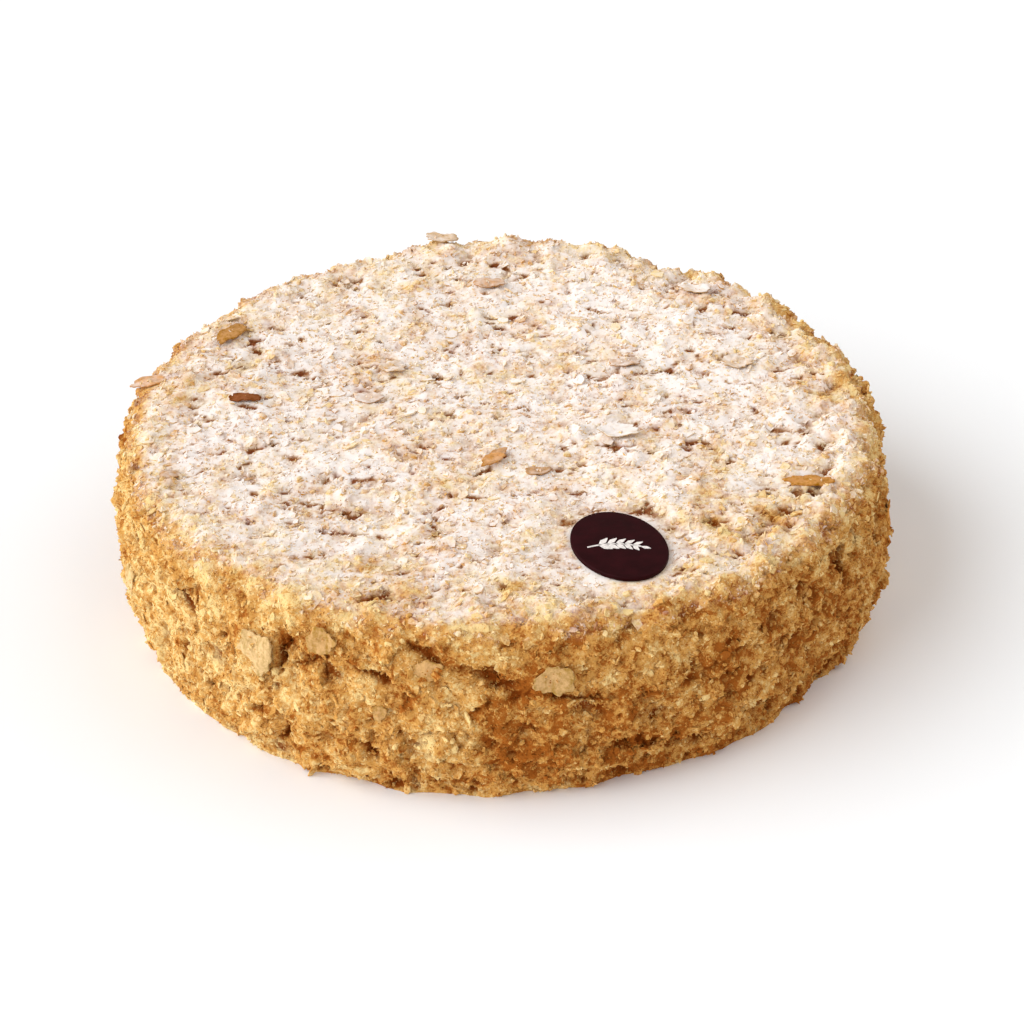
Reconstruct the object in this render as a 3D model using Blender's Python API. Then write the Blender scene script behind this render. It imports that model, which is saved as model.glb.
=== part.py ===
"""A round, uncut napoleon cake coated in baked pastry crumbs, with an oval chocolate plaque lying on it.

The cake is one solid: a core lofted from rings and roughened by seeded noise, with ledges, flakes and
crumbs fused on by one Boolean union. Metres, +Z up. The origin is on the ground, under the middle of
the bounding box. Azimuths are in degrees from +X, and the side that was seen best faces -Y."""

import math
import random
from collections import namedtuple

import bmesh
import bpy
from mathutils import Matrix, Vector, noise
from mathutils.bvhtree import BVHTree

MM = 0.001

# The cake without its crumbs
CORE_HEIGHT = 59.5 * MM
FOOT_RADIUS = 112.4 * MM
BELLY_RADIUS = 118.4 * MM
BELLY_HEIGHT = 24.0 * MM
SHOULDER_RADIUS = 116.6 * MM
RIM_ROUNDING = 8.5 * MM
CROWN_RISE = 0.8 * MM

# How the core is divided
SIDE_ROWS = 11
RIM_ROWS = 3
RING_SEGMENTS = 126
TOP_STEP = 6.6 * MM
FEWEST_SEGMENTS = 8

# Relief of the core: how far it swings in or out, and over what distance
SWELL_DEPTH, SWELL_SPAN = 1.6 * MM, 48.0 * MM
CLUMP_DEPTH, CLUMP_SPAN = 3.4 * MM, 13.0 * MM
GRIT_DEPTH, GRIT_SPAN = 2.4 * MM, 6.1 * MM
TOP_SHARE = 0.6
FOOT_FADE = 5.0 * MM
DENT_FALLOFF = 1.6
CRUST_SHARP_ANGLE = math.radians(38.0)

# The chocolate plaque, and the seat pressed into the crumbs for it
PLAQUE_LENGTH = 37.0 * MM
PLAQUE_WIDTH = 27.0 * MM
PLAQUE_THICKNESS = 1.5 * MM
PLAQUE_EDGE = 0.4 * MM
PLAQUE_SEGMENTS = 48
PLAQUE_EDGE_SEGMENTS = 2
PLAQUE_SHARP_ANGLE = math.radians(40.0)
LEVEL_TOLERANCE = 0.1 * MM
PLAQUE_X, PLAQUE_Y = 34.2 * MM, -73.6 * MM
PLAQUE_TURN = math.radians(112.0)
SEAT_DROP = 1.2 * MM
SEAT_MARGIN = 5.0 * MM
SEAT_FADE = 7.0 * MM
GAP = 0.3 * MM

# Flakes, as bent plates with ragged corners, and chunks, as lumps of stuck-together crumbs
FLAKE_COUNT = 34
FLAKE_LARGEST, FLAKE_SMALLEST = 14.0 * MM, 8.0 * MM
FLAKE_WIDTH_SHARE = (0.5, 0.8)
FLAKE_THICKNESS = (1.8 * MM, 2.6 * MM)
FLAKE_CORNERS = 7
FLAKE_RAGGED = (0.78, 1.08)
FLAKE_UPPER_SHARE = 0.84
FLAKE_BEND = 0.9
FLAKE_LIFT = 0.5 * MM
FLAKE_TILT = (6.0, 26.0)
CHUNK_COUNT = 38
CHUNK_LARGEST, CHUNK_SMALLEST = 11.0 * MM, 7.0 * MM
CHUNK_WIDTH_SHARE, CHUNK_HEIGHT_SHARE = (0.65, 0.95), (0.5, 0.8)
CHUNK_RAGGED = (0.8, 1.12)
CHUNK_SINK = 0.08
CHUNK_TILT = 24.0

# Where they may lie, and how near each other, as a share of their mean length
SIDE_SHARE = 0.5
SPACING = 0.74
FOOT_CLEARANCE = 1.5 * MM
RIM_CLEARANCE = 3.0 * MM
MOST_TRIES = 400
TOP_NORMAL = 0.7

# Ledges that follow the side: the spread ones are placed between these azimuths
LEDGE_COUNT = 6
LEDGES_FROM, LEDGES_TO = -58.0, 252.0
LEDGE_SWEEP = (16.0, 27.0)
LEDGE_HEIGHTS = (7.0, 44.0)
LEDGE_RISE = 4.0
LEDGE_REACH = (1.6, 2.4)
LEDGE_THICKNESS = (4.4, 6.4)
LEDGE_STEP = 3.2
LEDGE_ROOT = 8.0 * MM
LEDGE_SLANT = 0.45
LEDGE_RAGGED = (0.6, 1.15)
LEDGE_UNEVEN = (0.7, 1.1)
LEDGE_TIP = 0.15

FUSE_TOLERANCE = 0.01 * MM
SEED = 4606

TopFlake = namedtuple("TopFlake", "x y length width turn tilt")
SideFlake = namedtuple("SideFlake", "azimuth height length width turn tilt")
Ledge = namedtuple("Ledge", "start end low high reach thickness")
Dent = namedtuple("Dent", "azimuth height radius depth")
Bulge = namedtuple("Bulge", "azimuth height sweep tall amount")
Mound = namedtuple("Mound", "x y radius height")

# Flakes that stand out on the top: place and size in mm, turn and tilt in degrees
TOP_FLAKES = (
    TopFlake(-85, 54, 13, 8, 35, 16),
    TopFlake(-110, 28, 13, 8, 20, 24),
    TopFlake(-79, 14, 13, 7, 5, 10),
    TopFlake(-3, 83, 11, 6, 0, 14),
    TopFlake(-33, 31, 9, 8, 30, 18),
    TopFlake(-41, 12, 10, 7, 0, 12),
    TopFlake(-2, -27, 12, 6, 50, 26),
    TopFlake(11, -34, 9, 7, 10, 16),
    TopFlake(-18, 112, 10, 8, 0, 28),
    TopFlake(40, 30, 11, 6, 15, 12),
    TopFlake(75, 29, 10, 7, 0, 16),
    TopFlake(36, -13, 13, 8, 5, 14),
    TopFlake(64, 74, 13, 7, -10, 14),
    TopFlake(93, -42, 14, 6, 5, 20),
    TopFlake(-100, -31, 8, 6, 40, 20),
)

# Flakes pressed on the side
SIDE_FLAKES = (
    SideFlake(-128, 40, 19, 13, 80, 12),
    SideFlake(-117, 50, 10, 9, 30, 16),
    SideFlake(-84, 43, 15, 10, 10, -14),
    SideFlake(-10, 34, 16, 10, 70, 10),
    SideFlake(64, 36, 15, 11, 25, 12),
    SideFlake(142, 30, 16, 10, 60, -12),
    SideFlake(-163, 24, 14, 10, 75, 14),
)

# Edges of baked sheets that show as ledges: azimuths in degrees, the rest in mm
LEDGES = (
    Ledge(-88, -63, 37.0, 33.0, 2.4, 6.0),
    Ledge(-80, -62, 13.0, 15.5, 2.2, 5.0),
    Ledge(-104, -82, 7.5, 9.0, 2.0, 5.0),
)

# Hollows where crumbs have fallen away, with the ledges' undersides among them
DENTS = (
    Dent(-122.5, 43, 6.5, 3.8),
    Dent(-113, 39, 6.0, 2.8),
    Dent(-106, 38, 6.0, 2.6),
    Dent(-94, 46, 6.0, 2.8),
    Dent(-101, 54, 5.5, 2.2),
    Dent(-123, 15, 6.0, 2.6),
    Dent(-110, 16, 6.0, 2.4),
    Dent(-78, 26, 9.0, 2.4),
    Dent(-68, 23, 8.0, 2.2),
    Dent(-31, 43, 8.5, 3.2),
    Dent(20, 30, 8.0, 2.6),
    Dent(75, 22, 8.0, 2.6),
    Dent(118, 40, 8.0, 2.8),
    Dent(168, 18, 8.0, 2.6),
)

# Where the side stands out of round: azimuth and sweep in degrees, the rest in mm
BULGES = (
    Bulge(-132, 2, 34, 26, 2.6),
    Bulge(16, 52, 22, 30, 2.6),
    Bulge(-19, 16, 13, 18, 2.4),
    Bulge(-176, 20, 14, 18, 1.2),
)

# Where crumbs are heaped at the back rim, in mm
MOUNDS = (
    Mound(-21, 109, 11, 3.4),
    Mound(3, 111, 11, 2.8),
    Mound(31, 107, 12, 3.8),
)


def clear_scene():
    for item in list(bpy.data.objects):
        bpy.data.objects.remove(item, do_unlink=True)


def smooth_step(x):
    x = min(1.0, max(0.0, x))
    return x * x * (3.0 - 2.0 * x)


def blend(low, high, share):
    return low + (high - low) * share


def material(name, colour, roughness):
    """A Principled material with one plain colour."""
    made = bpy.data.materials.new(name)
    made.use_nodes = True
    shader = made.node_tree.nodes["Principled BSDF"]
    shader.inputs["Base Color"].default_value = (*colour, 1.0)
    shader.inputs["Roughness"].default_value = roughness
    shader.inputs["Metallic"].default_value = 0.0
    made.diffuse_color = (*colour, 1.0)
    return made


def new_object(name, bm, finish=None):
    """Turns a bmesh into an object of the scene."""
    mesh = bpy.data.meshes.new(name)
    bm.to_mesh(mesh)
    bm.free()
    made = bpy.data.objects.new(name, mesh)
    bpy.context.collection.objects.link(made)
    if finish:
        mesh.materials.append(finish)
    return made


# The core


def side_radius(z):
    """The tucked-in foot, the belly and the slightly narrower shoulder, as two eased curves."""
    if z < BELLY_HEIGHT:
        return blend(FOOT_RADIUS, BELLY_RADIUS, math.sin(math.pi / 2.0 * z / BELLY_HEIGHT))
    share = (z - BELLY_HEIGHT) / (CORE_HEIGHT - RIM_ROUNDING - BELLY_HEIGHT)
    return blend(BELLY_RADIUS, SHOULDER_RADIUS, share * share)


def core_rings():
    """(radius, height, segments) of each ring, from the foot up the side and in over the top."""
    rings = []
    shoulder_height = CORE_HEIGHT - RIM_ROUNDING
    for row in range(SIDE_ROWS + 1):
        z = shoulder_height * row / SIDE_ROWS
        rings.append((side_radius(z), z, RING_SEGMENTS))
    for row in range(1, RIM_ROWS + 1):
        angle = math.pi / 2.0 * row / RIM_ROWS
        radius = SHOULDER_RADIUS - RIM_ROUNDING * (1.0 - math.cos(angle))
        rings.append((radius, shoulder_height + RIM_ROUNDING * math.sin(angle), RING_SEGMENTS))
    flat_radius = SHOULDER_RADIUS - RIM_ROUNDING
    steps = round(flat_radius / TOP_STEP)
    for step in range(1, steps):
        radius = flat_radius * (1.0 - step / steps)
        height = CORE_HEIGHT + CROWN_RISE * (1.0 - (radius / flat_radius) ** 2)
        segments = max(FEWEST_SEGMENTS, round(RING_SEGMENTS * radius / flat_radius))
        rings.append((radius, height, segments))
    return rings


def ring_edges(bm, radius, height, segments):
    """An open circle at this height, as the list of its edges."""
    raised = Matrix.Translation((0.0, 0.0, height))
    made = bmesh.ops.create_circle(bm, radius=radius, segments=segments, matrix=raised)
    return list(dict.fromkeys(edge for vert in made["verts"] for edge in vert.link_edges))


def lofted_core():
    """The core before its relief: rings bridged one to the next, with a flat underside."""
    bm = bmesh.new()
    loops = [ring_edges(bm, *ring) for ring in core_rings()]
    for lower, upper in zip(loops, loops[1:]):
        bmesh.ops.bridge_loops(bm, edges=lower + upper)
    for end in (loops[0], loops[-1]):
        bmesh.ops.edgeloop_fill(bm, edges=end)
    above_foot = [face for face in bm.faces if face.calc_center_median().z > 0.0]
    bmesh.ops.triangulate(bm, faces=above_foot, quad_method="SHORT_EDGE")
    bmesh.ops.recalc_face_normals(bm, faces=bm.faces[:])
    return bm


def on_side(azimuth, height):
    """The point of the plain side at this azimuth, in degrees, and height, in metres."""
    angle = math.radians(azimuth)
    radius = side_radius(height)
    return Vector((radius * math.cos(angle), radius * math.sin(angle), height))


def dent_depth(point):
    """How deep the hollows are at this point of the side."""
    depth = 0.0
    for dent in DENTS:
        away = (point - on_side(dent.azimuth, dent.height * MM)).length / (dent.radius * MM)
        depth += dent.depth * MM * math.exp(-DENT_FALLOFF * away * away)
    return depth


def bulge_reach(point):
    """How far the bulges push this point of the side out."""
    azimuth = math.degrees(math.atan2(point.y, point.x))
    reach = 0.0
    for bulge in BULGES:
        turned = ((azimuth - bulge.azimuth + 180.0) % 360.0 - 180.0) / bulge.sweep
        raised = (point.z / MM - bulge.height) / bulge.tall
        reach += bulge.amount * MM * math.exp(-turned * turned - raised * raised)
    return reach


def mound_height(point):
    """How high the heaped crumbs stand at this point of the top."""
    height = 0.0
    for mound in MOUNDS:
        away = (point.xy - Vector((mound.x, mound.y)) * MM).length / (mound.radius * MM)
        height += mound.height * MM * math.exp(-away * away)
    return height


def seat_share(point):
    """1 under the plaque and near it, falling to 0 where the crumbs lie freely."""
    offset = Matrix.Rotation(-PLAQUE_TURN, 2) @ (point.xy - Vector((PLAQUE_X, PLAQUE_Y)))
    half_length = PLAQUE_LENGTH / 2.0 + SEAT_MARGIN
    half_width = PLAQUE_WIDTH / 2.0 + SEAT_MARGIN
    reach = math.hypot(offset.x / half_length, offset.y / half_width)
    away = (reach - 1.0) * half_width / SEAT_FADE
    on_top = smooth_step((point.z - CORE_HEIGHT + RIM_ROUNDING) / RIM_ROUNDING)
    return on_top * (1.0 - smooth_step(away))


def relief(point, upward):
    """How far the core's surface stands out here. upward is 1 on the top and 0 on the side."""
    swell = SWELL_DEPTH * noise.noise(point / SWELL_SPAN)
    nearest = noise.voronoi(point / CLUMP_SPAN)[0][0]
    clump = CLUMP_DEPTH * (0.5 - nearest)
    grit = GRIT_DEPTH * noise.noise(point / GRIT_SPAN + Vector((2.0, 9.0, 4.0)))
    rough = (clump + grit) * blend(1.0, TOP_SHARE, upward)
    side = bulge_reach(point) - dent_depth(point)
    return swell + rough + blend(side, mound_height(point), upward)


def roughen(bm):
    """Moves the core's points along their normals, and keeps the underside flat."""
    bm.normal_update()
    normals = {vert: vert.normal.copy() for vert in bm.verts}
    seat_height = CORE_HEIGHT - SEAT_DROP
    for vert, normal in normals.items():
        point = vert.co.copy()
        upward = smooth_step(normal.z)
        if point.z < FOOT_FADE:
            normal.z = 0.0
            normal.normalize()
        vert.co = point + normal * relief(point, upward)
        seated = seat_share(point)
        vert.co.z = blend(vert.co.z, seat_height, seated)
        if point.z == 0.0:
            vert.co.z = 0.0


# What is fused on


def raise_face(bm, height):
    """Extrudes a flat mesh straight up into a closed plate, and returns its upper points."""
    raised = bmesh.ops.extrude_face_region(bm, geom=bm.faces[:])["geom"]
    upper = [item for item in raised if isinstance(item, bmesh.types.BMVert)]
    bmesh.ops.translate(bm, verts=upper, vec=(0.0, 0.0, height))
    return upper


def flake(rng, length, width, thickness):
    """A thin irregular plate, bent a little, lying flat about its middle."""
    bm = bmesh.new()
    bmesh.ops.create_circle(bm, cap_ends=True, radius=0.5, segments=FLAKE_CORNERS)
    for vert in bm.verts:
        vert.co.xy *= rng.uniform(*FLAKE_RAGGED)
    upper = raise_face(bm, 1.0)
    bmesh.ops.scale(bm, verts=upper, vec=(FLAKE_UPPER_SHARE, FLAKE_UPPER_SHARE, 1.0))
    bend = rng.uniform(-FLAKE_BEND, FLAKE_BEND)
    for vert in bm.verts:
        height = (vert.co.z - 0.5 + bend * vert.co.x * vert.co.x) * thickness
        vert.co = (vert.co.x * length, vert.co.y * width, height)
    bmesh.ops.triangulate(bm, faces=bm.faces[:])
    bmesh.ops.recalc_face_normals(bm, faces=bm.faces[:])
    return bm


def chunk(rng, length):
    """A lump of stuck-together crumbs."""
    bm = bmesh.new()
    bmesh.ops.create_icosphere(bm, subdivisions=1, radius=0.5)
    width = length * rng.uniform(*CHUNK_WIDTH_SHARE)
    height = length * rng.uniform(*CHUNK_HEIGHT_SHARE)
    for vert in bm.verts:
        vert.co *= rng.uniform(*CHUNK_RAGGED)
    bmesh.ops.scale(bm, verts=bm.verts[:], vec=(length, width, height))
    return bm


def ledge(rng, place):
    """A strip that follows the side, with a ragged outer edge: the edge of a baked sheet."""
    bm = bmesh.new()
    steps = round((place.end - place.start) / LEDGE_STEP)
    bmesh.ops.create_grid(bm, x_segments=steps, y_segments=1, size=0.5)
    raise_face(bm, 1.0)
    for vert in bm.verts:
        vert.co = ledge_point(rng, place, vert.co)
    bmesh.ops.triangulate(bm, faces=bm.faces[:])
    bmesh.ops.recalc_face_normals(bm, faces=bm.faces[:])
    return bm


def ledge_point(rng, place, corner):
    """Where a ledge's point lies. corner is its place in a unit block: along, outwards and up."""
    along, outer, upper = corner.x + 0.5, corner.y > 0.0, corner.z > 0.5
    thickness = place.thickness * MM
    height = blend(place.low, place.high, along) * MM
    spot = on_side(blend(place.start, place.end, along), height)
    outwards = Vector((spot.x, spot.y, 0.0)).normalized()
    spot.z += (corner.z - 0.5) * thickness * rng.uniform(*LEDGE_UNEVEN)
    if outer and upper:
        spot.z -= LEDGE_SLANT * thickness
    if not outer:
        return spot - outwards * LEDGE_ROOT
    tapered = blend(LEDGE_TIP, 1.0, math.sqrt(max(0.0, math.sin(math.pi * along))))
    return spot + outwards * place.reach * MM * rng.uniform(*LEDGE_RAGGED) * tapered


def lying_at(spot, normal, turn, tilt):
    """The placement of a piece whose own Z follows the surface, turned on it and then tilted.

    Unturned, its X runs along +X on the top, and level round the side."""
    level = Vector((1.0, 0.0, 0.0)) if normal.z > TOP_NORMAL else Vector((-normal.y, normal.x, 0.0))
    across = normal.cross(level).normalized()
    along = Matrix((across.cross(normal), across, normal)).transposed().to_4x4()
    turned = Matrix.Rotation(turn, 4, "Z") @ Matrix.Rotation(tilt, 4, "Y")
    return Matrix.Translation(spot) @ along @ turned


def place_piece(bm, collection, placement):
    bmesh.ops.transform(bm, matrix=placement, verts=bm.verts[:])
    mesh = bpy.data.meshes.new("fused")
    bm.to_mesh(mesh)
    bm.free()
    collection.objects.link(bpy.data.objects.new("fused", mesh))


def look_down(tree, x, y):
    """The surface straight below (x, y): its point and its outward normal."""
    spot, normal, _, _ = tree.ray_cast(Vector((x, y, 1.0)), Vector((0.0, 0.0, -1.0)))
    return spot, normal


def look_in(tree, azimuth, height):
    """The side's surface at this azimuth, in radians, and height: its point and outward normal."""
    direction = Vector((math.cos(azimuth), math.sin(azimuth), 0.0))
    outside = direction + Vector((0.0, 0.0, height))
    spot, normal, _, _ = tree.ray_cast(outside, -direction)
    return spot, normal


def named_places(tree):
    """Each named flake with the surface's point and normal where it lies."""
    places = [(item, look_down(tree, item.x * MM, item.y * MM)) for item in TOP_FLAKES]
    for item in SIDE_FLAKES:
        places.append((item, look_in(tree, math.radians(item.azimuth), item.height * MM)))
    return places


def add_named_flakes(rng, tree, collection):
    for item, (spot, normal) in named_places(tree):
        bm = flake(rng, item.length * MM, item.width * MM, FLAKE_THICKNESS[1])
        turn, tilt = math.radians(item.turn), math.radians(item.tilt)
        place_piece(bm, collection, lying_at(spot + normal * FLAKE_LIFT, normal, turn, tilt))


def all_ledges(rng):
    """The named ledges, then more of them round the rest of the side."""
    ledges = list(LEDGES)
    for index in range(LEDGE_COUNT):
        start = blend(LEDGES_FROM, LEDGES_TO, (index + rng.random() / 3.0) / LEDGE_COUNT)
        low = rng.uniform(*LEDGE_HEIGHTS)
        made = Ledge(
            start=start,
            end=start + rng.uniform(*LEDGE_SWEEP),
            low=low,
            high=low + rng.uniform(-LEDGE_RISE, LEDGE_RISE),
            reach=rng.uniform(*LEDGE_REACH),
            thickness=rng.uniform(*LEDGE_THICKNESS),
        )
        ledges.append(made)
    return ledges


def random_spot(rng, tree, size):
    """A spot on the top or the side, by their shares of the surface."""
    azimuth = rng.uniform(0.0, 2.0 * math.pi)
    if rng.random() < SIDE_SHARE:
        height = rng.uniform(size / 2.0 + FOOT_CLEARANCE, CORE_HEIGHT - RIM_CLEARANCE)
        return look_in(tree, azimuth, height)
    radius = (SHOULDER_RADIUS - RIM_CLEARANCE) * math.sqrt(rng.random())
    return look_down(tree, radius * math.cos(azimuth), radius * math.sin(azimuth))


def free_spot(rng, tree, size, placed):
    """A random spot with nothing near it, or None after many tries."""
    for _ in range(MOST_TRIES):
        spot, normal = random_spot(rng, tree, size)
        if seat_share(spot) > 0.0:
            continue
        if all((spot - other).length > SPACING * (size + width) / 2.0 for other, width in placed):
            return spot, normal
    return None


def size_steps(kind, count, largest, smallest):
    """(kind, size) of each spread piece, with more small ones than large ones."""
    return [(kind, blend(largest, smallest, math.sqrt(index / count))) for index in range(count)]


def spread_pieces(rng, tree, collection):
    """Flakes and chunks, the largest first, each kept clear of those before it and of the plaque."""
    sizes = size_steps("flake", FLAKE_COUNT, FLAKE_LARGEST, FLAKE_SMALLEST)
    sizes += size_steps("chunk", CHUNK_COUNT, CHUNK_LARGEST, CHUNK_SMALLEST)
    placed = [(spot, item.length * MM) for item, (spot, _) in named_places(tree)]
    for kind, size in sorted(sizes, key=lambda item: -item[1]):
        found = free_spot(rng, tree, size, placed)
        if found is None:
            continue
        spot, normal = found
        placed.append((spot, size))
        turn = rng.uniform(0.0, 2.0 * math.pi)
        if kind == "flake":
            bm = flake(rng, size, size * rng.uniform(*FLAKE_WIDTH_SHARE), rng.uniform(*FLAKE_THICKNESS))
            tilt = math.radians(rng.uniform(*FLAKE_TILT))
            spot = spot + normal * FLAKE_LIFT
        else:
            bm = chunk(rng, size)
            tilt = math.radians(rng.uniform(-CHUNK_TILT, CHUNK_TILT))
            spot = spot - normal * CHUNK_SINK * size
        place_piece(bm, collection, lying_at(spot, normal, turn, tilt))


# Joining


def fuse(target, collection):
    """One union of the core with everything in the collection, applied."""
    union = target.modifiers.new("Fuse", "BOOLEAN")
    union.operation = "UNION"
    union.operand_type = "COLLECTION"
    union.collection = collection
    union.solver = "EXACT"
    bpy.context.view_layer.update()
    evaluated = target.evaluated_get(bpy.context.evaluated_depsgraph_get())
    joined = bpy.data.meshes.new_from_object(evaluated)
    target.modifiers.clear()
    target.data = joined
    for item in list(collection.objects):
        bpy.data.objects.remove(item, do_unlink=True)
    bpy.data.collections.remove(collection)


def islands(bm):
    """The separate shells of a mesh, each as a list of its points."""
    left = set(bm.verts)
    found = []
    while left:
        shell, waiting = [], [left.pop()]
        while waiting:
            vert = waiting.pop()
            shell.append(vert)
            for edge in vert.link_edges:
                other = edge.other_vert(vert)
                if other in left:
                    left.remove(other)
                    waiting.append(other)
        found.append(shell)
    return found


def keep_outer_shell(target):
    """Drops loose scraps and the walls of sealed hollows, and cleans up what the union left."""
    bm = bmesh.new()
    bm.from_mesh(target.data)
    bmesh.ops.triangulate(bm, faces=bm.faces[:])
    bmesh.ops.remove_doubles(bm, verts=bm.verts[:], dist=FUSE_TOLERANCE)
    bmesh.ops.dissolve_degenerate(bm, edges=bm.edges[:], dist=FUSE_TOLERANCE)
    bmesh.ops.triangulate(bm, faces=bm.faces[:])
    shells = sorted(islands(bm), key=len)
    scraps = [vert for shell in shells[:-1] for vert in shell]
    bmesh.ops.delete(bm, geom=scraps, context="VERTS")
    bm.to_mesh(target.data)
    bm.free()


# The pieces


def build_cake():
    crust = material("crumb crust", (0.66, 0.40, 0.13), 0.88)
    bm = lofted_core()
    roughen(bm)
    tree = BVHTree.FromBMesh(bm)
    cake = new_object("cake", bm, crust)
    rng = random.Random(SEED)
    collection = bpy.data.collections.new("Fused on")
    bpy.context.scene.collection.children.link(collection)
    add_named_flakes(rng, tree, collection)
    for place in all_ledges(rng):
        place_piece(ledge(rng, place), collection, Matrix.Identity(4))
    spread_pieces(rng, tree, collection)
    fuse(cake, collection)
    keep_outer_shell(cake)
    cake.data.shade_smooth()
    cake.data.set_sharp_from_angle(angle=CRUST_SHARP_ANGLE)
    return cake


def build_plaque():
    chocolate = material("dark chocolate", (0.035, 0.013, 0.013), 0.35)
    bm = bmesh.new()
    bmesh.ops.create_circle(bm, cap_ends=True, radius=0.5, segments=PLAQUE_SEGMENTS)
    bmesh.ops.scale(bm, verts=bm.verts[:], vec=(PLAQUE_LENGTH, PLAQUE_WIDTH, 1.0))
    raise_face(bm, PLAQUE_THICKNESS)
    bmesh.ops.recalc_face_normals(bm, faces=bm.faces[:])
    rims = [
        edge
        for edge in bm.edges
        if abs(edge.verts[0].co.z - edge.verts[1].co.z) < LEVEL_TOLERANCE
    ]
    bmesh.ops.bevel(
        bm,
        geom=rims,
        affect="EDGES",
        offset=PLAQUE_EDGE,
        segments=PLAQUE_EDGE_SEGMENTS,
        profile=0.5,
        material=-1,
    )
    place = Matrix.Translation((PLAQUE_X, PLAQUE_Y, CORE_HEIGHT - SEAT_DROP + GAP))
    turned = place @ Matrix.Rotation(PLAQUE_TURN, 4, "Z")
    bmesh.ops.transform(bm, matrix=turned, verts=bm.verts[:])
    bmesh.ops.triangulate(bm, faces=bm.faces[:])
    plaque = new_object("plaque", bm, chocolate)
    plaque.data.shade_smooth()
    plaque.data.set_sharp_from_angle(angle=PLAQUE_SHARP_ANGLE)
    return plaque


def centre(pieces):
    """Moves the pieces together, so that the middle of their bounding box is on the Z axis."""
    points = [vert.co for piece in pieces for vert in piece.data.vertices]
    middle = Vector((0.0, 0.0, 0.0))
    for axis in (0, 1):
        values = [point[axis] for point in points]
        middle[axis] = (min(values) + max(values)) / 2.0
    for piece in pieces:
        piece.data.transform(Matrix.Translation(-middle))


def main():
    clear_scene()
    centre([build_cake(), build_plaque()])


main()
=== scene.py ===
"""Finish of a round napoleon cake: its coat of baked crumbs, its icing sugar and its chocolate plaque.

It is laid out as an add-on and run as a script. Metres, +Z up, the side seen best faces -Y."""

import math
from collections import namedtuple

import bmesh
import bpy
import numpy as np
from bpy.props import FloatProperty, FloatVectorProperty, IntProperty, PointerProperty
from mathutils import Matrix, Vector, noise
from mathutils.bvhtree import BVHTree


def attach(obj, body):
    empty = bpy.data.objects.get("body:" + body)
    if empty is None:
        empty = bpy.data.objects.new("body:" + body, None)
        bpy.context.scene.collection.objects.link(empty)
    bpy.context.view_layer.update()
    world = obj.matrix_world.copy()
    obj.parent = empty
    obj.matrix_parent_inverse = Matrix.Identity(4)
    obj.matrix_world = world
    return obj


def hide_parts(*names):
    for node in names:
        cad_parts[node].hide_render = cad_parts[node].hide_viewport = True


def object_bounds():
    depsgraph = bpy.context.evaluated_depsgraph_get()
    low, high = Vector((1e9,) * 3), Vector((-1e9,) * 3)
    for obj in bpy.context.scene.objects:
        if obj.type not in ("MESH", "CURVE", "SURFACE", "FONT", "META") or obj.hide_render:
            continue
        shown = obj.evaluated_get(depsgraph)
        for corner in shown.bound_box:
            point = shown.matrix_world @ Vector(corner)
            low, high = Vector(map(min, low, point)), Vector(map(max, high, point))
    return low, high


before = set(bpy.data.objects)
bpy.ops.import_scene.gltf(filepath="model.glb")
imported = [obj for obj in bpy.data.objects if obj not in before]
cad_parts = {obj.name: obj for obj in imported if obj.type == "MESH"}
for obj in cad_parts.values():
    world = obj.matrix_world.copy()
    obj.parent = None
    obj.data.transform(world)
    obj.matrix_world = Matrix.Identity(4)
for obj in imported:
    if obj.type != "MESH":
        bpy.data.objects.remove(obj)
CAD_BOX = [list(corner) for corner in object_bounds()]

bl_info = {
    "name": "Napoleon Cake",
    "version": (1, 0, 0),
    "blender": (4, 5, 0),
    "location": "3D View > Sidebar > Napoleon Cake",
    "description": "Crumb coat, icing sugar and chocolate plaque for a round napoleon cake",
    "category": "Object",
}

MM = 0.001
SEED = 4606
SEED_STEPS = (7.3, 3.1, 5.7)

# Without a seed, noise vectors start from the clock
noise.seed_set(SEED)

# The cake's own form, as its solid has it
AXIS = np.array((0.214, -0.371)) * MM
SHOULDER_HEIGHT = 51.0 * MM
FLAT_RADIUS = 108.1 * MM
SIDE_RADIUS = 118.0 * MM

# The plaque, in the place of its solid
PLAQUE_LENGTH, PLAQUE_WIDTH = 37.0 * MM, 27.0 * MM
PLAQUE_PLACE = Vector((34.414, -73.971, 58.6)) * MM
PLAQUE_THICKNESS = 1.5 * MM
PLAQUE_CORNERS, PLAQUE_EDGE_STEPS = 120, 5
PLAQUE_TURN = math.radians(112.0)
SEAT_FADE, SEAT_MARGIN = 7.0 * MM, 1.5 * MM

# From the side to the top, by how far a point faces up over the rounded rim
ONTO_RIM, ONTO_TOP = (0.3, 0.7), (0.6, 1.0)
RIM_RISE = (0.0, 0.25)
GAP_RISE = (0.6, 0.9)
TONE_RISE = (0.35, 1.0)
SUGAR_RISE = (0.0, 0.45)
STEEPEST_TOP = 0.7

# How the crust's mesh is made from the solid
WELD = 0.001 * MM
FOOT_CUT = 0.6 * MM
FACET_SMOOTHING = 4
FOOT_FADE = 1.6 * MM
LOWEST = 0.04 * MM
EVENING_ROUNDS = 75

# Relief of the crust: how far it swings in or out, over what distance, and where its noise starts
LUMP_DEPTH, LUMP_SPAN, LUMP_START = 0.9 * MM, 12.0 * MM, Vector((3.0, 1.0, 8.0))
GRIT_LAYERS = ((2.6 * MM, 1.0), (1.4 * MM, 0.7))
PLATE_WANDER, PLATE_WANDER_SPAN, PLATE_KEY = 0.3, 0.6, 31.7
WANDER_DEPTHS, WANDER_SPANS = (1.8 * MM, 1.5 * MM, 0.9 * MM), (7.0 * MM, 3.0 * MM, 1.4 * MM)

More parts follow.
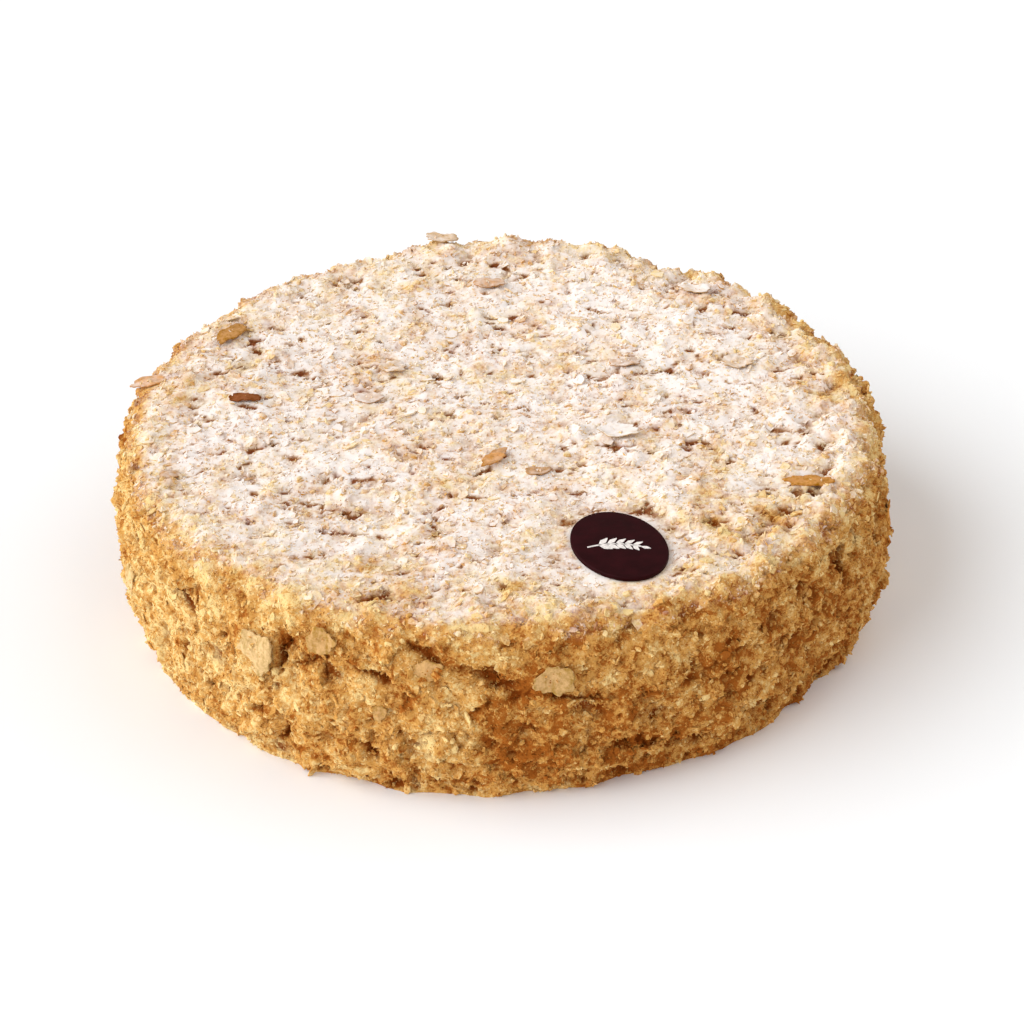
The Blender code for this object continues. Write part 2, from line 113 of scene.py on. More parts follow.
# The broken outer part of the top: where it starts and is full, and its own clumps
RIM_FROM, RIM_FULL = 88.0 * MM, 106.0 * MM
RIM_LUMP_DEPTH, RIM_LUMP_SPAN, RIM_LUMP_START = 2.6 * MM, 7.5 * MM, Vector((6.0, 2.0, 4.0))
SMOOTHER_RIM, ROUGHER = 0.3, (-30.0 * MM, 60.0 * MM)

# Shapes of the scattered pieces, as shares of their size
SHAPE_VARIANTS = 12
FINE_RADIUS, FINE_LENGTH, FINE_RAGGED = 0.55, 0.9, (0.6, 1.4)
COARSE_RAGGED = (0.66, 1.28)
CRUMB_WIDTHS, CRUMB_HEIGHTS = (0.5, 1.0), (0.35, 0.8)
FLAKE_CORNERS, FLAKE_RAGGED, FLAKE_BEND = 8, (0.6, 1.25), 0.9
FLAKE_WIDTHS, FLAKE_THICKNESSES = (0.45, 0.9), (0.7, 1.3)
MOSTLY_SMALL = 2.2

# How the scattered pieces lie: tilt, lift out of the crust, and what they keep clear of
SIDE_TILT, TOP_TILT = 0.45, 0.18
SIDE_LIFT, TOP_LIFT = (-0.3, 0.15), (-0.3, 0.08)
FLAKE_LIFT = (-0.7, 0.5)
FINE_CLEARING, COARSE_CLEARING, TOP_CLEARING = 0.3, 0.9, 0.2
FINE_OVERLAP, COARSE_OVERLAP = 0.55, 0.85
PLAQUE_CLEARING, BOX_MARGIN = 0.65, 0.02 * MM
FLAKE_LEVEL = 2.5
ON_FLAKE, ON_FLAKE_LIFT = 0.3, 1.6 * MM

# Tone: how pale the pieces are, from their own share of chance and from where they lie
OWN_TONE, EVENER_TOP = 0.75, 0.4
# Of these, the crust's darkening below the loose crumbs is painted shade between them, and the halo that
# browns the tone round the crevices and gaps is painted shade spreading from the hollows, partly toasted
# crumb
TOP_TONE, RIM_TONE, UNDER_CRUMB_SHADE, TOAST_AND_SHADE_HALO = 0.38, 0.1, 0.2, 0.35
CRUST_TONE_SPAN = 2.6 * MM
# The relief given to each crumb sets how much of the painted shade of the gaps it takes
CRUMB_RELIEF, LEAST_RELIEF = 0.35, -0.7

# Sugar: noise as weight, span and seed, and how much of it is kept in each place
SUGAR_LAYERS = ((0.3, 20.0 * MM, 1), (0.54, 8.0 * MM, 6))
RIM_SUGAR_LAYER = (0.35, 5.0 * MM, 8)
SUGAR_BORDER_LAYERS = ((5.0 * MM, 14.0 * MM, 2), (3.0 * MM, 5.0 * MM, 4))
THICKEST_SUGAR = 1.1
BARE_CRUMBS, BARE_SIZES = (0.05, 0.34), (0.6 * MM, 2.4 * MM)
BARE_RIM, BARE_SUGAR = 0.35, 0.35
RIM_CRUST_SUGAR, RIM_CRUMB_SUGAR = 0.25, 0.75

# Shapes of the broad flakes
BROAD_GRID, BROAD_START = 22, 50.0
BROAD_RAGGED, BROAD_WAVES = 0.42, ((1.3, 0.9), (3.2, 0.5), (6.0, 0.18))
BROAD_THICKNESS, BROAD_LIFT, BROAD_CURL = 0.45 * MM, -0.3 * MM, 0.7 * MM
BROAD_BED, BED_REACH = 1.1 * MM, (0.5, 1.05)
FLAKE_HEIGHT = 4.0 * MM
BLISTER_DEPTH, BLISTER_SPAN = 0.6 * MM, 4.0 * MM
RIPPLE_DEPTH, RIPPLE_SPAN = 0.25 * MM, 1.3 * MM

# The printed sprig: a bent stem, with leaves in pairs and one at its tip
SPRIG_HEIGHT, SPRIG_SUNK = 0.16 * MM, 0.04 * MM
SPRIG_OFFSET = (-1.6 * MM, -0.3 * MM)
STEM_SWEEP, STEM_STEPS, STEM_WIDTH = math.radians(46.0), 20, 0.56 * MM
LEAF_PAIRS, LEAVES_FROM, LEAF_SPREAD = 5, 0.22, 0.72
LEAF_LENGTHS, LEAF_WIDTH, LEAF_POINT, LEAF_CORNERS = (4.6 * MM, 3.2 * MM), 0.42, 1.3, 16

TopFlake = namedtuple("TopFlake", "x y length width turn tint dusting")
SideFlake = namedtuple("SideFlake", "azimuth height length width turn tint")
Patch = namedtuple("Patch", "x y radius amount")
Crevice = namedtuple("Crevice", "azimuth height length turn width depth")
Gap = namedtuple("Gap", "x y length turn width depth")
Clump = namedtuple("Clump", "x y z radius height")
Baked = namedtuple("Baked", "azimuth height sweep tall amount")

HOLLOW_EDGE, CLUMP_EDGE = 1.3, 4
MOSTLY_SHORT, GAP_MARGIN = 2.0, 3.0 * MM


def table(kind, *rows):
    return [kind(*row) for row in rows]


# Tints of the broad flakes, linear
CREAM, SAND, TAN = (0.80, 0.56, 0.28), (0.70, 0.43, 0.18), (0.60, 0.31, 0.11)
GOLD, AMBER, BROWN = (0.72, 0.33, 0.075), (0.64, 0.31, 0.095), (0.32, 0.105, 0.035)
ORANGE, OAT = (0.74, 0.36, 0.11), (0.70, 0.45, 0.20)

# Broad flakes: place and size in mm, turn in degrees
TOP_FLAKES = table(
    TopFlake,
    (-85, 54, 16, 6, 58, TAN, 0.0),
    (-110, 28, 12, 7, 20, GOLD, 0.2),
    (-79, 13, 10, 4.2, 4, BROWN, 0.0),
    (-3, 83, 11, 5, 0, AMBER, 0.2),
    (-33, 31, 9, 7, 30, SAND, 0.4),
    (-41, 12, 9, 6, 0, TAN, 0.45),
    (-2, -27, 12.5, 4.6, 56, ORANGE, 0.1),
    (11, -34, 7, 4.5, 10, TAN, 0.15),
    (-18, 112, 10, 7, 0, SAND, 0.3),
    (40, 30, 10, 5, 15, TAN, 0.3),
    (75, 29, 10, 6, 0, SAND, 0.4),
    (36, -13, 12, 8, 5, CREAM, 0.8),
    (64, 74, 10, 5, -10, SAND, 0.6),
    (92.5, -41, 17, 6, 6, AMBER, 0.0),
    (-100, -29, 7, 5, 40, TAN, 0.2),
)
SIDE_FLAKES = table(
    SideFlake,
    (-127.5, 40, 16, 13, 86, CREAM),
    (-116.7, 49, 10, 8, 30, SAND),
    (-83.4, 43.5, 11.5, 9, 12, OAT),
    (-101, 46, 9, 6, 20, SAND),
    (-108, 29, 6, 4, 80, SAND),
    (-10, 34, 9, 6, 70, GOLD),
    (64, 36, 14, 10, 25, CREAM),
    (142, 30, 15, 9, 60, SAND),
    (-163, 24, 12, 8, 75, CREAM),
)

# Crevices in the side: azimuth and turn in degrees, the rest in mm
CREVICES = table(
    Crevice,
    (-123.3, 40.5, 13, 84, 2.8, 3.4),
    (-118.6, 41.8, 9, 0, 2.0, 2.0),
    (-109.6, 41.2, 17, -18, 2.2, 2.8),
    (-101.4, 50.6, 13, -28, 2.6, 2.2),
    (-92.4, 43.0, 8, -25, 2.4, 1.9),
    (-127.6, 18.3, 6, 40, 2.2, 2.2),
    (-123.7, 12.0, 9, 78, 3.2, 3.0),
    (-109.0, 14.6, 15, -22, 2.4, 2.2),
    (-79.4, 36.2, 24, -13, 2.6, 2.4),
    (-66.6, 33.6, 20, 8, 2.2, 2.0),
    (-56.6, 37.2, 18, 11, 2.2, 2.0),
    (-69.4, 15.0, 21, -2, 2.2, 3.2),
    (-62.0, 10.0, 10, -14, 2.0, 2.0),
    (-78.0, 11.0, 10, -18, 2.2, 2.0),
    (-57.2, 30.6, 12, -10, 2.2, 2.0),
    (-29.6, 40.0, 15, 82, 3.2, 3.0),
    (-41.0, 46.0, 9, 60, 2.6, 2.2),
    (-93.0, 12.8, 32, 0, 1.6, 1.2),
    (-95.0, 6.4, 26, 0, 1.6, 1.3),
    (-155.0, 25.7, 5, 60, 2.2, 2.0),
    (-144.0, 23.3, 5, 60, 1.8, 1.6),
)
SPREAD_CREVICES = 46
CREVICE_RANGES = dict(
    azimuth=(-52.0, 228.0),
    height=(5.0, 51.0),
    length=(4.0, 20.0),
    turn=(-28.0, 28.0),
    width=(1.8, 3.2),
    depth=(1.4, 3.0),
)
SPREAD_PITS = 270
PIT_RANGES = dict(
    azimuth=(-126.0, 190.0),
    height=(2.0, 55.0),
    length=(1.5, 7.0),
    turn=(-45.0, 45.0),
    width=(1.2, 2.4),
    depth=(0.8, 1.8),
)

# Clumps that stand out on the rim: place, radius and height in mm
RIM_CLUMPS = table(
    Clump,
    (90, -68, 57, 5.5, 2.6),
    (65, -92, 57, 6.0, 2.2),
    (97, -55, 56, 4.5, 1.8),
    (52, -97, 57, 4.5, 1.6),
    (76, -80, 58, 4.0, 1.4),
    (107, -30, 57, 5.0, 1.8),
    (110, -4, 57, 5.5, 2.0),
    (102, 36, 57, 5.0, 1.8),
    (20, -108, 57, 5.0, 1.4),
    (-58, -93, 56, 5.5, 1.4),
)

# Gaps between the crumbs of the top: place and size in mm, turn in degrees
GAPS = table(
    Gap,
    (-74, -15, 7, 10, 2.6, 1.6),
    (-63, 32, 6, 20, 2.4, 1.6),
    (-18.5, 27, 6, -35, 2.2, 1.6),
    (-37, -95, 12, 25, 3.2, 1.8),
    (-21, -58, 9, 5, 2.4, 1.5),
    (-61, -56, 7, -20, 2.2, 1.5),
    (-43, -62, 7, 0, 2.2, 1.5),
    (51, 27, 8, 15, 2.4, 1.6),
    (61, -16, 9, 10, 2.6, 1.6),
    (85, -8, 9, -20, 2.6, 1.6),
    (43, -22, 12, -5, 2.2, 1.5),
    (36, -18, 10, 3, 2.0, 1.8),
    (-5, -32, 8, 35, 2.0, 1.5),
    (-79, 9.6, 9, 4, 1.8, 1.5),
    (94, -46, 13, 18, 2.2, 1.8),
    (86.4, -55, 7, 15, 3.2, 1.8),
    (78, -66, 6, -10, 2.6, 1.6),
)
SPREAD_GAPS = 640
GAP_RANGES = dict(length=(1.5, 7.0), turn=(-38.0, 38.0), width=(1.1, 2.2), depth=(0.7, 1.4))

# Where the side is paler or browner, partly real baking and partly painted light and shade: the paler patches
# on the left and the right rim paint the light falling there, and the broad browner one at the front right
# paints shade. Azimuth and sweep in degrees, the rest in mm
BAKED_AND_LIT_PATCHES = table(
    Baked,
    # These two rows are painted light: paler on the left and front left, where the light falls
    (-154, 30, 30, 50, 0.34),
    (-122, 32, 22, 30, 0.16),
    (-76, 17, 17, 13, -0.24),
    (-114, 11, 13, 9, -0.12),
    (-103, 44, 11, 8, -0.10),
    # Painted shade: browner on the front right, away from the light
    (-40, 30, 34, 50, -0.14),
    (60, 34, 26, 40, 0.06),
    (126, 24, 22, 22, -0.14),
    # Painted light: paler on the right rim, where light falls from above
    (-20, 53, 24, 11, 0.30),
)

# Where the sugar lies thicker, or thinner: place, radius and amount. The patch on the right rim is partly
# more sugar and partly painted light.
SUGAR_PATCHES = table(
    Patch,
    (-76, -12, 26, 0.12),
    (40, 60, 40, 0.16),
    (45, 15, 30, 0.10),
    (-74, -94, 22, -0.26),
    (-40, -108, 15, -0.42),
    (-6, -115, 15, -0.40),
    (26, -113, 15, -0.26),
    (-111, -20, 30, 0.20),
    (-80, 86, 45, 0.20),
    (40, 112, 45, 0.20),
    (64, -96, 20, -0.15),
    (79, -61, 24, -0.14),
    (-30, 35, 24, -0.08),
    (-25, -72, 28, -0.10),
    # Partly more sugar, partly painted light on the right rim, where light falls from above
    (112, -26, 24, 0.24),
)


# Settings


def setting(kind, **fixed):
    """A function that makes properties of this kind."""

    def make(name, description, default):
        return kind(name=name, description=description, default=default, **fixed)

    return make


length = setting(FloatProperty, min=0.0, precision=5, unit="LENGTH")
lengths = setting(FloatVectorProperty, size=2, min=0.0, precision=5, unit="LENGTH")
colour = setting(FloatVectorProperty, size=3, min=0.0, max=1.0, subtype="COLOR")
share = setting(FloatProperty, min=0.0, max=1.0)
strength = setting(FloatProperty, min=0.0)
power = setting(FloatProperty, min=0.0, unit="POWER")
number = setting(IntProperty, min=0)


class CrustSettings(bpy.types.PropertyGroup):
    """The crust that carries the loose crumbs, and the colours of baked pastry. Its Pit colour is painted
    shade deep in the gaps, partly the colour of toasted crumb.
    """

    grain: length("Grain", "Spacing of the points in the crust's mesh", 1.12 * MM)
    sink: length("Sink", "How far the crust lies in from the solid, to leave room for the crumbs", 0.5 * MM)
    plates: lengths(
        "Plates", "Size of the tilted plates of broken pastry, large and small", (9.0 * MM, 4.0 * MM)
    )
    slope: share("Slope", "How steeply the plates are tilted", 0.46)
    grit_depth: length("Grit depth", "Height of the finer unevenness on the side", 0.7 * MM)
    top_share: share("Top share", "How rough the top is next to the side", 0.55)
    pale: colour("Pale", "Colour of the palest crumbs", (0.86, 0.655, 0.30))
    golden: colour("Golden", "Colour of most crumbs", (0.68, 0.362, 0.09))
    toasted: colour("Toasted", "Colour of the browner crumbs", (0.40, 0.12, 0.014))
    # Pit: painted shade deep in the gaps and crevices, partly toasted crumb
    pit: colour("Pit", "Colour deep in the gaps", (0.22, 0.045, 0.002))


class CrumbSettings(bpy.types.PropertyGroup):
    """Numbers and sizes of the loose crumbs and flakes, for the side and for the top alike."""

    fine_count: number("Fine crumbs", "Number of fine crumbs on the side", 48000)
    fine_top_count: number("Fine crumbs on top", "Number of fine crumbs on the top", 18000)
    fine_size: lengths("Fine size", "Smallest and largest fine crumb", (0.5 * MM, 1.5 * MM))
    medium_count: number("Medium crumbs", "Number of medium crumbs on the side, and on the top", 22000)
    medium_size: lengths("Medium size", "Smallest and largest medium crumb", (0.8 * MM, 2.0 * MM))
    coarse_count: number("Coarse crumbs", "Number of coarse crumbs on the side", 4200)
    coarse_size: lengths("Coarse size", "Smallest and largest coarse crumb", (1.5 * MM, 3.2 * MM))
    coarse_top_count: number("Coarse crumbs on top", "Number of coarse crumbs on the top", 3200)
    flake_count: number("Thin flakes", "Number of thin flakes on the side", 2600)
    flake_size: lengths("Flake size", "Shortest and longest thin flake on the side", (1.5 * MM, 4.8 * MM))
    flake_top_count: number("Thin flakes on top", "Number of thin flakes on the top", 1300)
    flake_top_size: lengths(
        "Flake size on top", "Shortest and longest thin flake on the top", (1.6 * MM, 5.6 * MM)
    )
    flake_thickness: length("Flake thickness", "Thickness of the thin flakes", 0.45 * MM)


class SugarSettings(bpy.types.PropertyGroup):
    """The icing sugar sifted over the top."""

    tint: colour("Sugar", "Colour of the icing sugar", (0.90, 0.835, 0.80))
    amount: share("Amount", "How much of the top the sugar covers", 0.66)
    rim_start: length("Rim start", "Radius where the sugar starts to thin out", 84.0 * MM)
    rim_end: length("Rim end", "Radius where the sugar is thinnest", 114.0 * MM)
    rim_loss: share("Rim loss", "How much thinner the sugar is at the rim", 0.5)


class PlaqueSettings(bpy.types.PropertyGroup):
    """The oval chocolate plaque and the sprig printed on it."""

    chocolate: colour("Chocolate", "Colour of the chocolate", (0.018, 0.0022, 0.0032))
    print_tint: colour("Print", "Colour of the printed sprig", (0.88, 0.82, 0.78))
    edge: length("Edge", "Rounding of the plaque's edges", 0.4 * MM)
    sprig_length: length("Sprig", "Length of the printed sprig", 16.0 * MM)


class StageSettings(bpy.types.PropertyGroup):
    """The floor, the lights and the camera."""

    floor_tint: colour("Floor", "Colour of the floor", (0.96, 0.97, 0.99))
    sky: strength("Sky", "Strength of the even light", 0.37)
    sky_tint: colour("Sky tint", "Colour of the even light", (1.0, 0.93, 0.85))
    key: strength("Key light", "Strength of the soft light from the left", 4.1)
    key_tint: colour("Key tint", "Colour of the soft light from the left", (0.93, 0.97, 1.0))
    overhead: power("Overhead light", "Power of the soft light from above and behind", 18.0)
    fill: power("Fill light", "Power of the weak light low in front", 7.0)


# Meshes


def link(name, data):
    """A new object of the scene with this data."""
    made = bpy.data.objects.new(name, data)
    bpy.context.scene.collection.objects.link(made)
    return made


def new_piece(name, bm):
    """Turns a bmesh into an object of the scene."""
    mesh = bpy.data.meshes.new(name)
    bm.to_mesh(mesh)
    bm.free()
    return link(name, mesh)


def join(joined, bm):
    """Adds one bmesh to another."""
    scrap = bpy.data.meshes.new("scrap")
    bm.to_mesh(scrap)
    bm.free()
    joined.from_mesh(scrap)
    bpy.data.meshes.remove(scrap)


def joined_piece(name, points, faces):
    """One object of many loose shapes: points is (n, 3), and faces holds each triangle's points."""
    mesh = bpy.data.meshes.new(name)
    mesh.vertices.add(len(points))
    mesh.vertices.foreach_set("co", points.astype(np.float32).ravel())
    mesh.loops.add(faces.size)
    mesh.loops.foreach_set("vertex_index", faces.astype(np.int32).ravel())
    mesh.polygons.add(len(faces))
    mesh.polygons.foreach_set("loop_start", np.arange(0, faces.size, 3, dtype=np.int32))
    mesh.update(calc_edges=True)
    mesh.validate()
    mesh.shade_flat()
    return link(name, mesh)


def set_attribute(mesh, name, values):
    """Stores one number for each point, or one colour where values is (n, 4)."""
    kind, field = ("FLOAT", "value") if values.ndim == 1 else ("FLOAT_COLOR", "color")
    layer = mesh.attributes.new(name, kind, "POINT")
    layer.data.foreach_set(field, values.astype(np.float32).ravel())


def finish_piece(piece, material):
    piece.data.materials.clear()
    piece.data.materials.append(material)
    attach(piece, "root")


def raise_face(bm, height):
    """Extrudes a flat mesh straight up into a closed plate, and returns its upper points."""
    raised = bmesh.ops.extrude_face_region(bm, geom=bm.faces[:])["geom"]
    upper = [item for item in raised if isinstance(item, bmesh.types.BMVert)]
    bmesh.ops.translate(bm, verts=upper, vec=(0.0, 0.0, height))
    bmesh.ops.recalc_face_normals(bm, faces=bm.faces[:])
    return upper


def smooth_step(low, high, values):
    x = np.clip((values - low) / (high - low), 0.0, 1.0)
    return x * x * (3.0 - 2.0 * x)


def blend(low, high, part):
    return low + (high - low) * part


def noise_at(points, span, seed):
    """Smooth noise of about -1 to 1 at each point, with swings of about this span."""
    shift = Vector([seed * step for step in SEED_STEPS])
    return np.array([noise.noise(Vector(point) / span + shift) for point in points])


# Where things lie on the cake


def from_axis(points):
    return np.hypot(points[:, 0] - AXIS[0], points[:, 1] - AXIS[1])


def upness(points):
    """0 on the side, rising over the rounded rim to 1 on the top."""
    out = from_axis(points) - FLAT_RADIUS
    up = points[:, 2] - SHOULDER_HEIGHT
    return np.clip(np.arctan2(up, np.maximum(out, WELD)) / (math.pi / 2.0), 0.0, 1.0)


def rim_at(points):
    """1 on the broken outer part of the top, most of all on its right, and 0 on its middle and the side."""
    broken = smooth_step(RIM_FROM, RIM_FULL, from_axis(points)) * smooth_step(*RIM_RISE, upness(points))
    return broken * blend(SMOOTHER_RIM, 1.0, smooth_step(*ROUGHER, points[:, 0]))


def beyond_plaque(points):
    """How far each point lies outside the plaque's outline, seen from above. It is less than 0 inside."""
    cosine, sine = math.cos(PLAQUE_TURN), math.sin(PLAQUE_TURN)
    x, y = points[:, 0] - PLAQUE_PLACE.x, points[:, 1] - PLAQUE_PLACE.y
    along, across = cosine * x + sine * y, cosine * y - sine * x
    reach = np.hypot(along / (PLAQUE_LENGTH / 2.0), across / (PLAQUE_WIDTH / 2.0))
    return (reach - 1.0) * PLAQUE_WIDTH / 2.0


def layered(points, layers):
    """The sum of noises, each given as weight, span and seed."""
    return sum(weight * noise_at(points, span, seed) for weight, span, seed in layers)


def dusting_at(points, settings):
    """How thick the icing sugar lies, from 0 to about 1. On the right rim, part of it is painted light from a
    sugar patch.
    """
    amount = settings.amount + layered(points, SUGAR_LAYERS)
    amount += rim_at(points) * layered(points, (RIM_SUGAR_LAYER,))
    for patch in SUGAR_PATCHES:
        away = np.hypot(points[:, 0] - patch.x * MM, points[:, 1] - patch.y * MM) / (patch.radius * MM)
        amount += patch.amount * np.exp(-away * away)
    radius = from_axis(points) + layered(points, SUGAR_BORDER_LAYERS)
    thinned = 1.0 - settings.rim_loss * smooth_step(settings.rim_start, settings.rim_end, radius)
    return np.clip(amount, 0.0, THICKEST_SUGAR) * thinned * smooth_step(*SUGAR_RISE, upness(points))


def around_side(points):
    """Each point's place on the side, unrolled: how far round from +X, and its height."""
    azimuth = np.arctan2(points[:, 1] - AXIS[1], points[:, 0] - AXIS[0])
    return azimuth * SIDE_RADIUS, points[:, 2]


def turned_away(azimuths, azimuth):
    """Distance round the side from this azimuth, in degrees, the shorter way round."""
    apart = azimuths / SIDE_RADIUS - math.radians(azimuth)
    return ((apart + math.pi) % (2.0 * math.pi) - math.pi) * SIDE_RADIUS


def baking_and_light_at(points):
    """How much paler, or browner below 0, each point is: partly baking, and partly painted light and shade
    from the patches.
    """
    round_side, height = around_side(points)
    bias = np.zeros(len(points))
    for patch in BAKED_AND_LIT_PATCHES:
        sideways = turned_away(round_side, patch.azimuth) / (math.radians(patch.sweep) * SIDE_RADIUS)
        upwards = (height / MM - patch.height) / patch.tall
        bias += patch.amount * np.exp(-sideways * sideways - upwards * upwards)
    return blend(bias, TOP_TONE, smooth_step(*TONE_RISE, upness(points))) + RIM_TONE * rim_at(points)


def slot_share(along, across, item):
    """1 in the middle of a long narrow hollow, falling to 0 outside it."""
    turn = math.radians(item.turn)
    lengthwise = along * math.cos(turn) + across * math.sin(turn)
    sideways = across * math.cos(turn) - along * math.sin(turn)
    half_width = item.width * MM / 2.0
    past_end = np.maximum(np.abs(lengthwise) - item.length * MM / 2.0 + half_width, 0.0)
    return np.exp(-HOLLOW_EDGE * (past_end**2 + sideways**2) / half_width**2)


def spread_items(rng, kind, count, ranges, **fixed):
    """Seeded crevices or gaps, each value drawn from its range and most of them short."""
    drawn = {name: rng.uniform(low, high, count) for name, (low, high) in ranges.items()}
    low, high = ranges["length"]
    drawn["length"] = low + (high - low) * rng.random(count) ** MOSTLY_SHORT
    drawn.update(fixed)
    return [kind(**{name: drawn[name][index] for name in kind._fields}) for index in range(count)]


def all_crevices():
    rng = np.random.default_rng([SEED, 1])
    crevices = CREVICES + spread_items(rng, Crevice, SPREAD_CREVICES, CREVICE_RANGES)
    return crevices + spread_items(rng, Crevice, SPREAD_PITS, PIT_RANGES)


def all_gaps():
    rng = np.random.default_rng([SEED, 2])
    radius = (FLAT_RADIUS - GAP_MARGIN) / MM * np.sqrt(rng.random(SPREAD_GAPS))
    angle = rng.uniform(0.0, 2.0 * math.pi, SPREAD_GAPS)
    places = {"x": radius * np.cos(angle), "y": radius * np.sin(angle)}
    return GAPS + spread_items(rng, Gap, SPREAD_GAPS, GAP_RANGES, **places)


def clumps_at(points):
    """How far the rim's clumps stand out at each point, in metres."""
    out = np.zeros(len(points))
    for item in RIM_CLUMPS:
        middle = np.array((item.x, item.y, item.z)) * MM + np.array((*AXIS, 0.0))
        away = np.linalg.norm(points - middle, axis=1) / (item.radius * MM)
        out = np.maximum(out, item.height * MM * np.exp(-(away**CLUMP_EDGE)))
    return out


def wandered(points):
    """The points, each shifted a little, so that what is drawn with them has a ragged outline."""
    shifted = points.copy()
    for depth, span in zip(WANDER_DEPTHS, WANDER_SPANS):
        shifted += depth * np.array([noise.noise_vector(Vector(point) / span) for point in points])
    return shifted


def hollows_at(points):
    """How deep the crevices and gaps are at each point, in metres, and how much they are shaded, 0 to 1."""
    depth, shade = np.zeros(len(points)), np.zeros(len(points))
    ragged = wandered(points)
    round_side, height = around_side(ragged)
    up = upness(points)
    flat = smooth_step(*GAP_RISE, up) * smooth_step(0.0, SEAT_MARGIN, beyond_plaque(points))
    for item in all_crevices() + all_gaps():
        if isinstance(item, Crevice):
            along, across = turned_away(round_side, item.azimuth), height - item.height * MM
            hollow = slot_share(along, across, item) * (1.0 - up)
        else:
            along, across = ragged[:, 0] - AXIS[0] - item.x * MM, ragged[:, 1] - AXIS[1] - item.y * MM
            hollow = slot_share(along, across, item) * flat
        depth = np.maximum(depth, hollow * item.depth * MM)
        shade = np.maximum(shade, hollow)
    return depth, shade


def surface_matrix(spot, normal, turn):
    """The placement of a flat piece: its X runs along +X on the top and level round the side."""
    level = Vector((1.0, 0.0, 0.0)) if normal.z > STEEPEST_TOP else Vector((-normal.y, normal.x, 0.0))
    across = normal.cross(level).normalized()
    along = Matrix((across.cross(normal), across, normal)).transposed().to_4x4()
    return Matrix.Translation(spot) @ along @ Matrix.Rotation(turn, 4, "Z")


def flake_places():
    """Each broad flake with its placement on the solid's own flake."""
    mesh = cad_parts["cake"].data
    corners = [vert.co for vert in mesh.vertices]
    tree = BVHTree.FromPolygons(corners, [tuple(face.vertices) for face in mesh.polygons])
    starts = []
    for item in TOP_FLAKES:
        above = Vector((item.x * MM + AXIS[0], item.y * MM + AXIS[1], 1.0))
        starts.append((item, above, Vector((0.0, 0.0, 1.0))))
    for item in SIDE_FLAKES:
        angle = math.radians(item.azimuth)
        outwards = Vector((math.cos(angle), math.sin(angle), 0.0))
        starts.append((item, outwards + Vector((AXIS[0], AXIS[1], item.height * MM)), outwards))
    places = []
    for item, start, outwards in starts:
        spot, normal, _, _ = tree.ray_cast(start, -outwards)
        normal = (normal + FLAKE_LEVEL * outwards).normalized()
        places.append((item, surface_matrix(spot, normal, math.radians(item.turn))))
    return places


def beyond_flakes(points):
    """How far each point is from the middle of the nearest broad flake, where its outline is 1."""
    nearest = np.full(len(points), np.inf)
    for item, placement in flake_places():
        local = np.array(placement.inverted())
        near = points @ local[:3, :3].T + local[:3, 3]
        reach = np.hypot(near[:, 0] / (item.length * MM / 2.0), near[:, 1] / (item.width * MM / 2.0))
        reach[np.abs(near[:, 2]) > FLAKE_HEIGHT] = np.inf
        nearest = np.minimum(nearest, reach)
    return nearest


# The crust


def remeshed_cake(grain):
    """A copy of the solid's mesh, welded and divided evenly."""
    bm = bmesh.new()
    bm.from_mesh(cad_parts["cake"].data)
    bmesh.ops.remove_doubles(bm, verts=bm.verts[:], dist=WELD)
    rough = new_piece("remeshing", bm)
    remesh = rough.modifiers.new("Remesh", "REMESH")
    remesh.mode = "VOXEL"
    remesh.voxel_size = grain
    evaluated = rough.evaluated_get(bpy.context.evaluated_depsgraph_get())
    bm = bmesh.new()
    bm.from_mesh(evaluated.data)
    bpy.data.objects.remove(rough, do_unlink=True)
    return bm


def flatten_foot(bm):
    """Cuts the underside off just above the floor, lowers the cut edge to it and closes it with one face."""
    everything = bm.verts[:] + bm.edges[:] + bm.faces[:]
    bmesh.ops.bisect_plane(
        bm, geom=everything, plane_co=(0.0, 0.0, FOOT_CUT), plane_no=(0.0, 0.0, 1.0), clear_inner=True
    )
    rim = [edge for edge in bm.edges if edge.is_boundary]
    for vert in {vert for edge in rim for vert in edge.verts}:
        vert.co.z = 0.0
    bmesh.ops.edgeloop_fill(bm, edges=rim)
    bmesh.ops.recalc_face_normals(bm, faces=bm.faces[:])


def plate_height(point, span, slope):
    """Height on broken ground: plates of about this span, each tilted its own way."""
    place = point / span + PLATE_WANDER * noise.noise_vector(point / (PLATE_WANDER_SPAN * span))
    centre = noise.voronoi(place)[1][0]
    tilt = noise.cell_vector(centre * PLATE_KEY) - Vector((0.5, 0.5, 0.5))
    return (place - centre).dot(tilt) * span * slope


def crust_relief(point, up, rim, settings):
    """How far the crust stands out here: lumps, tilted plates of two sizes, and grit."""
    lump = LUMP_DEPTH * noise.noise(point / LUMP_SPAN + LUMP_START)
    large, small = (plate_height(point, span, settings.slope) for span in settings.plates)
    grit = sum(noise.noise(point / span) * weight for span, weight in GRIT_LAYERS)
    rough = blend(blend(1.0, settings.top_share, up), 1.0, rim)
    clump = rim * RIM_LUMP_DEPTH * noise.noise(point / RIM_LUMP_SPAN + RIM_LUMP_START)
    fine = (small + settings.grit_depth * grit) * blend(1.0, rough, up)
    return (lump + large) * rough * rough + fine + clump


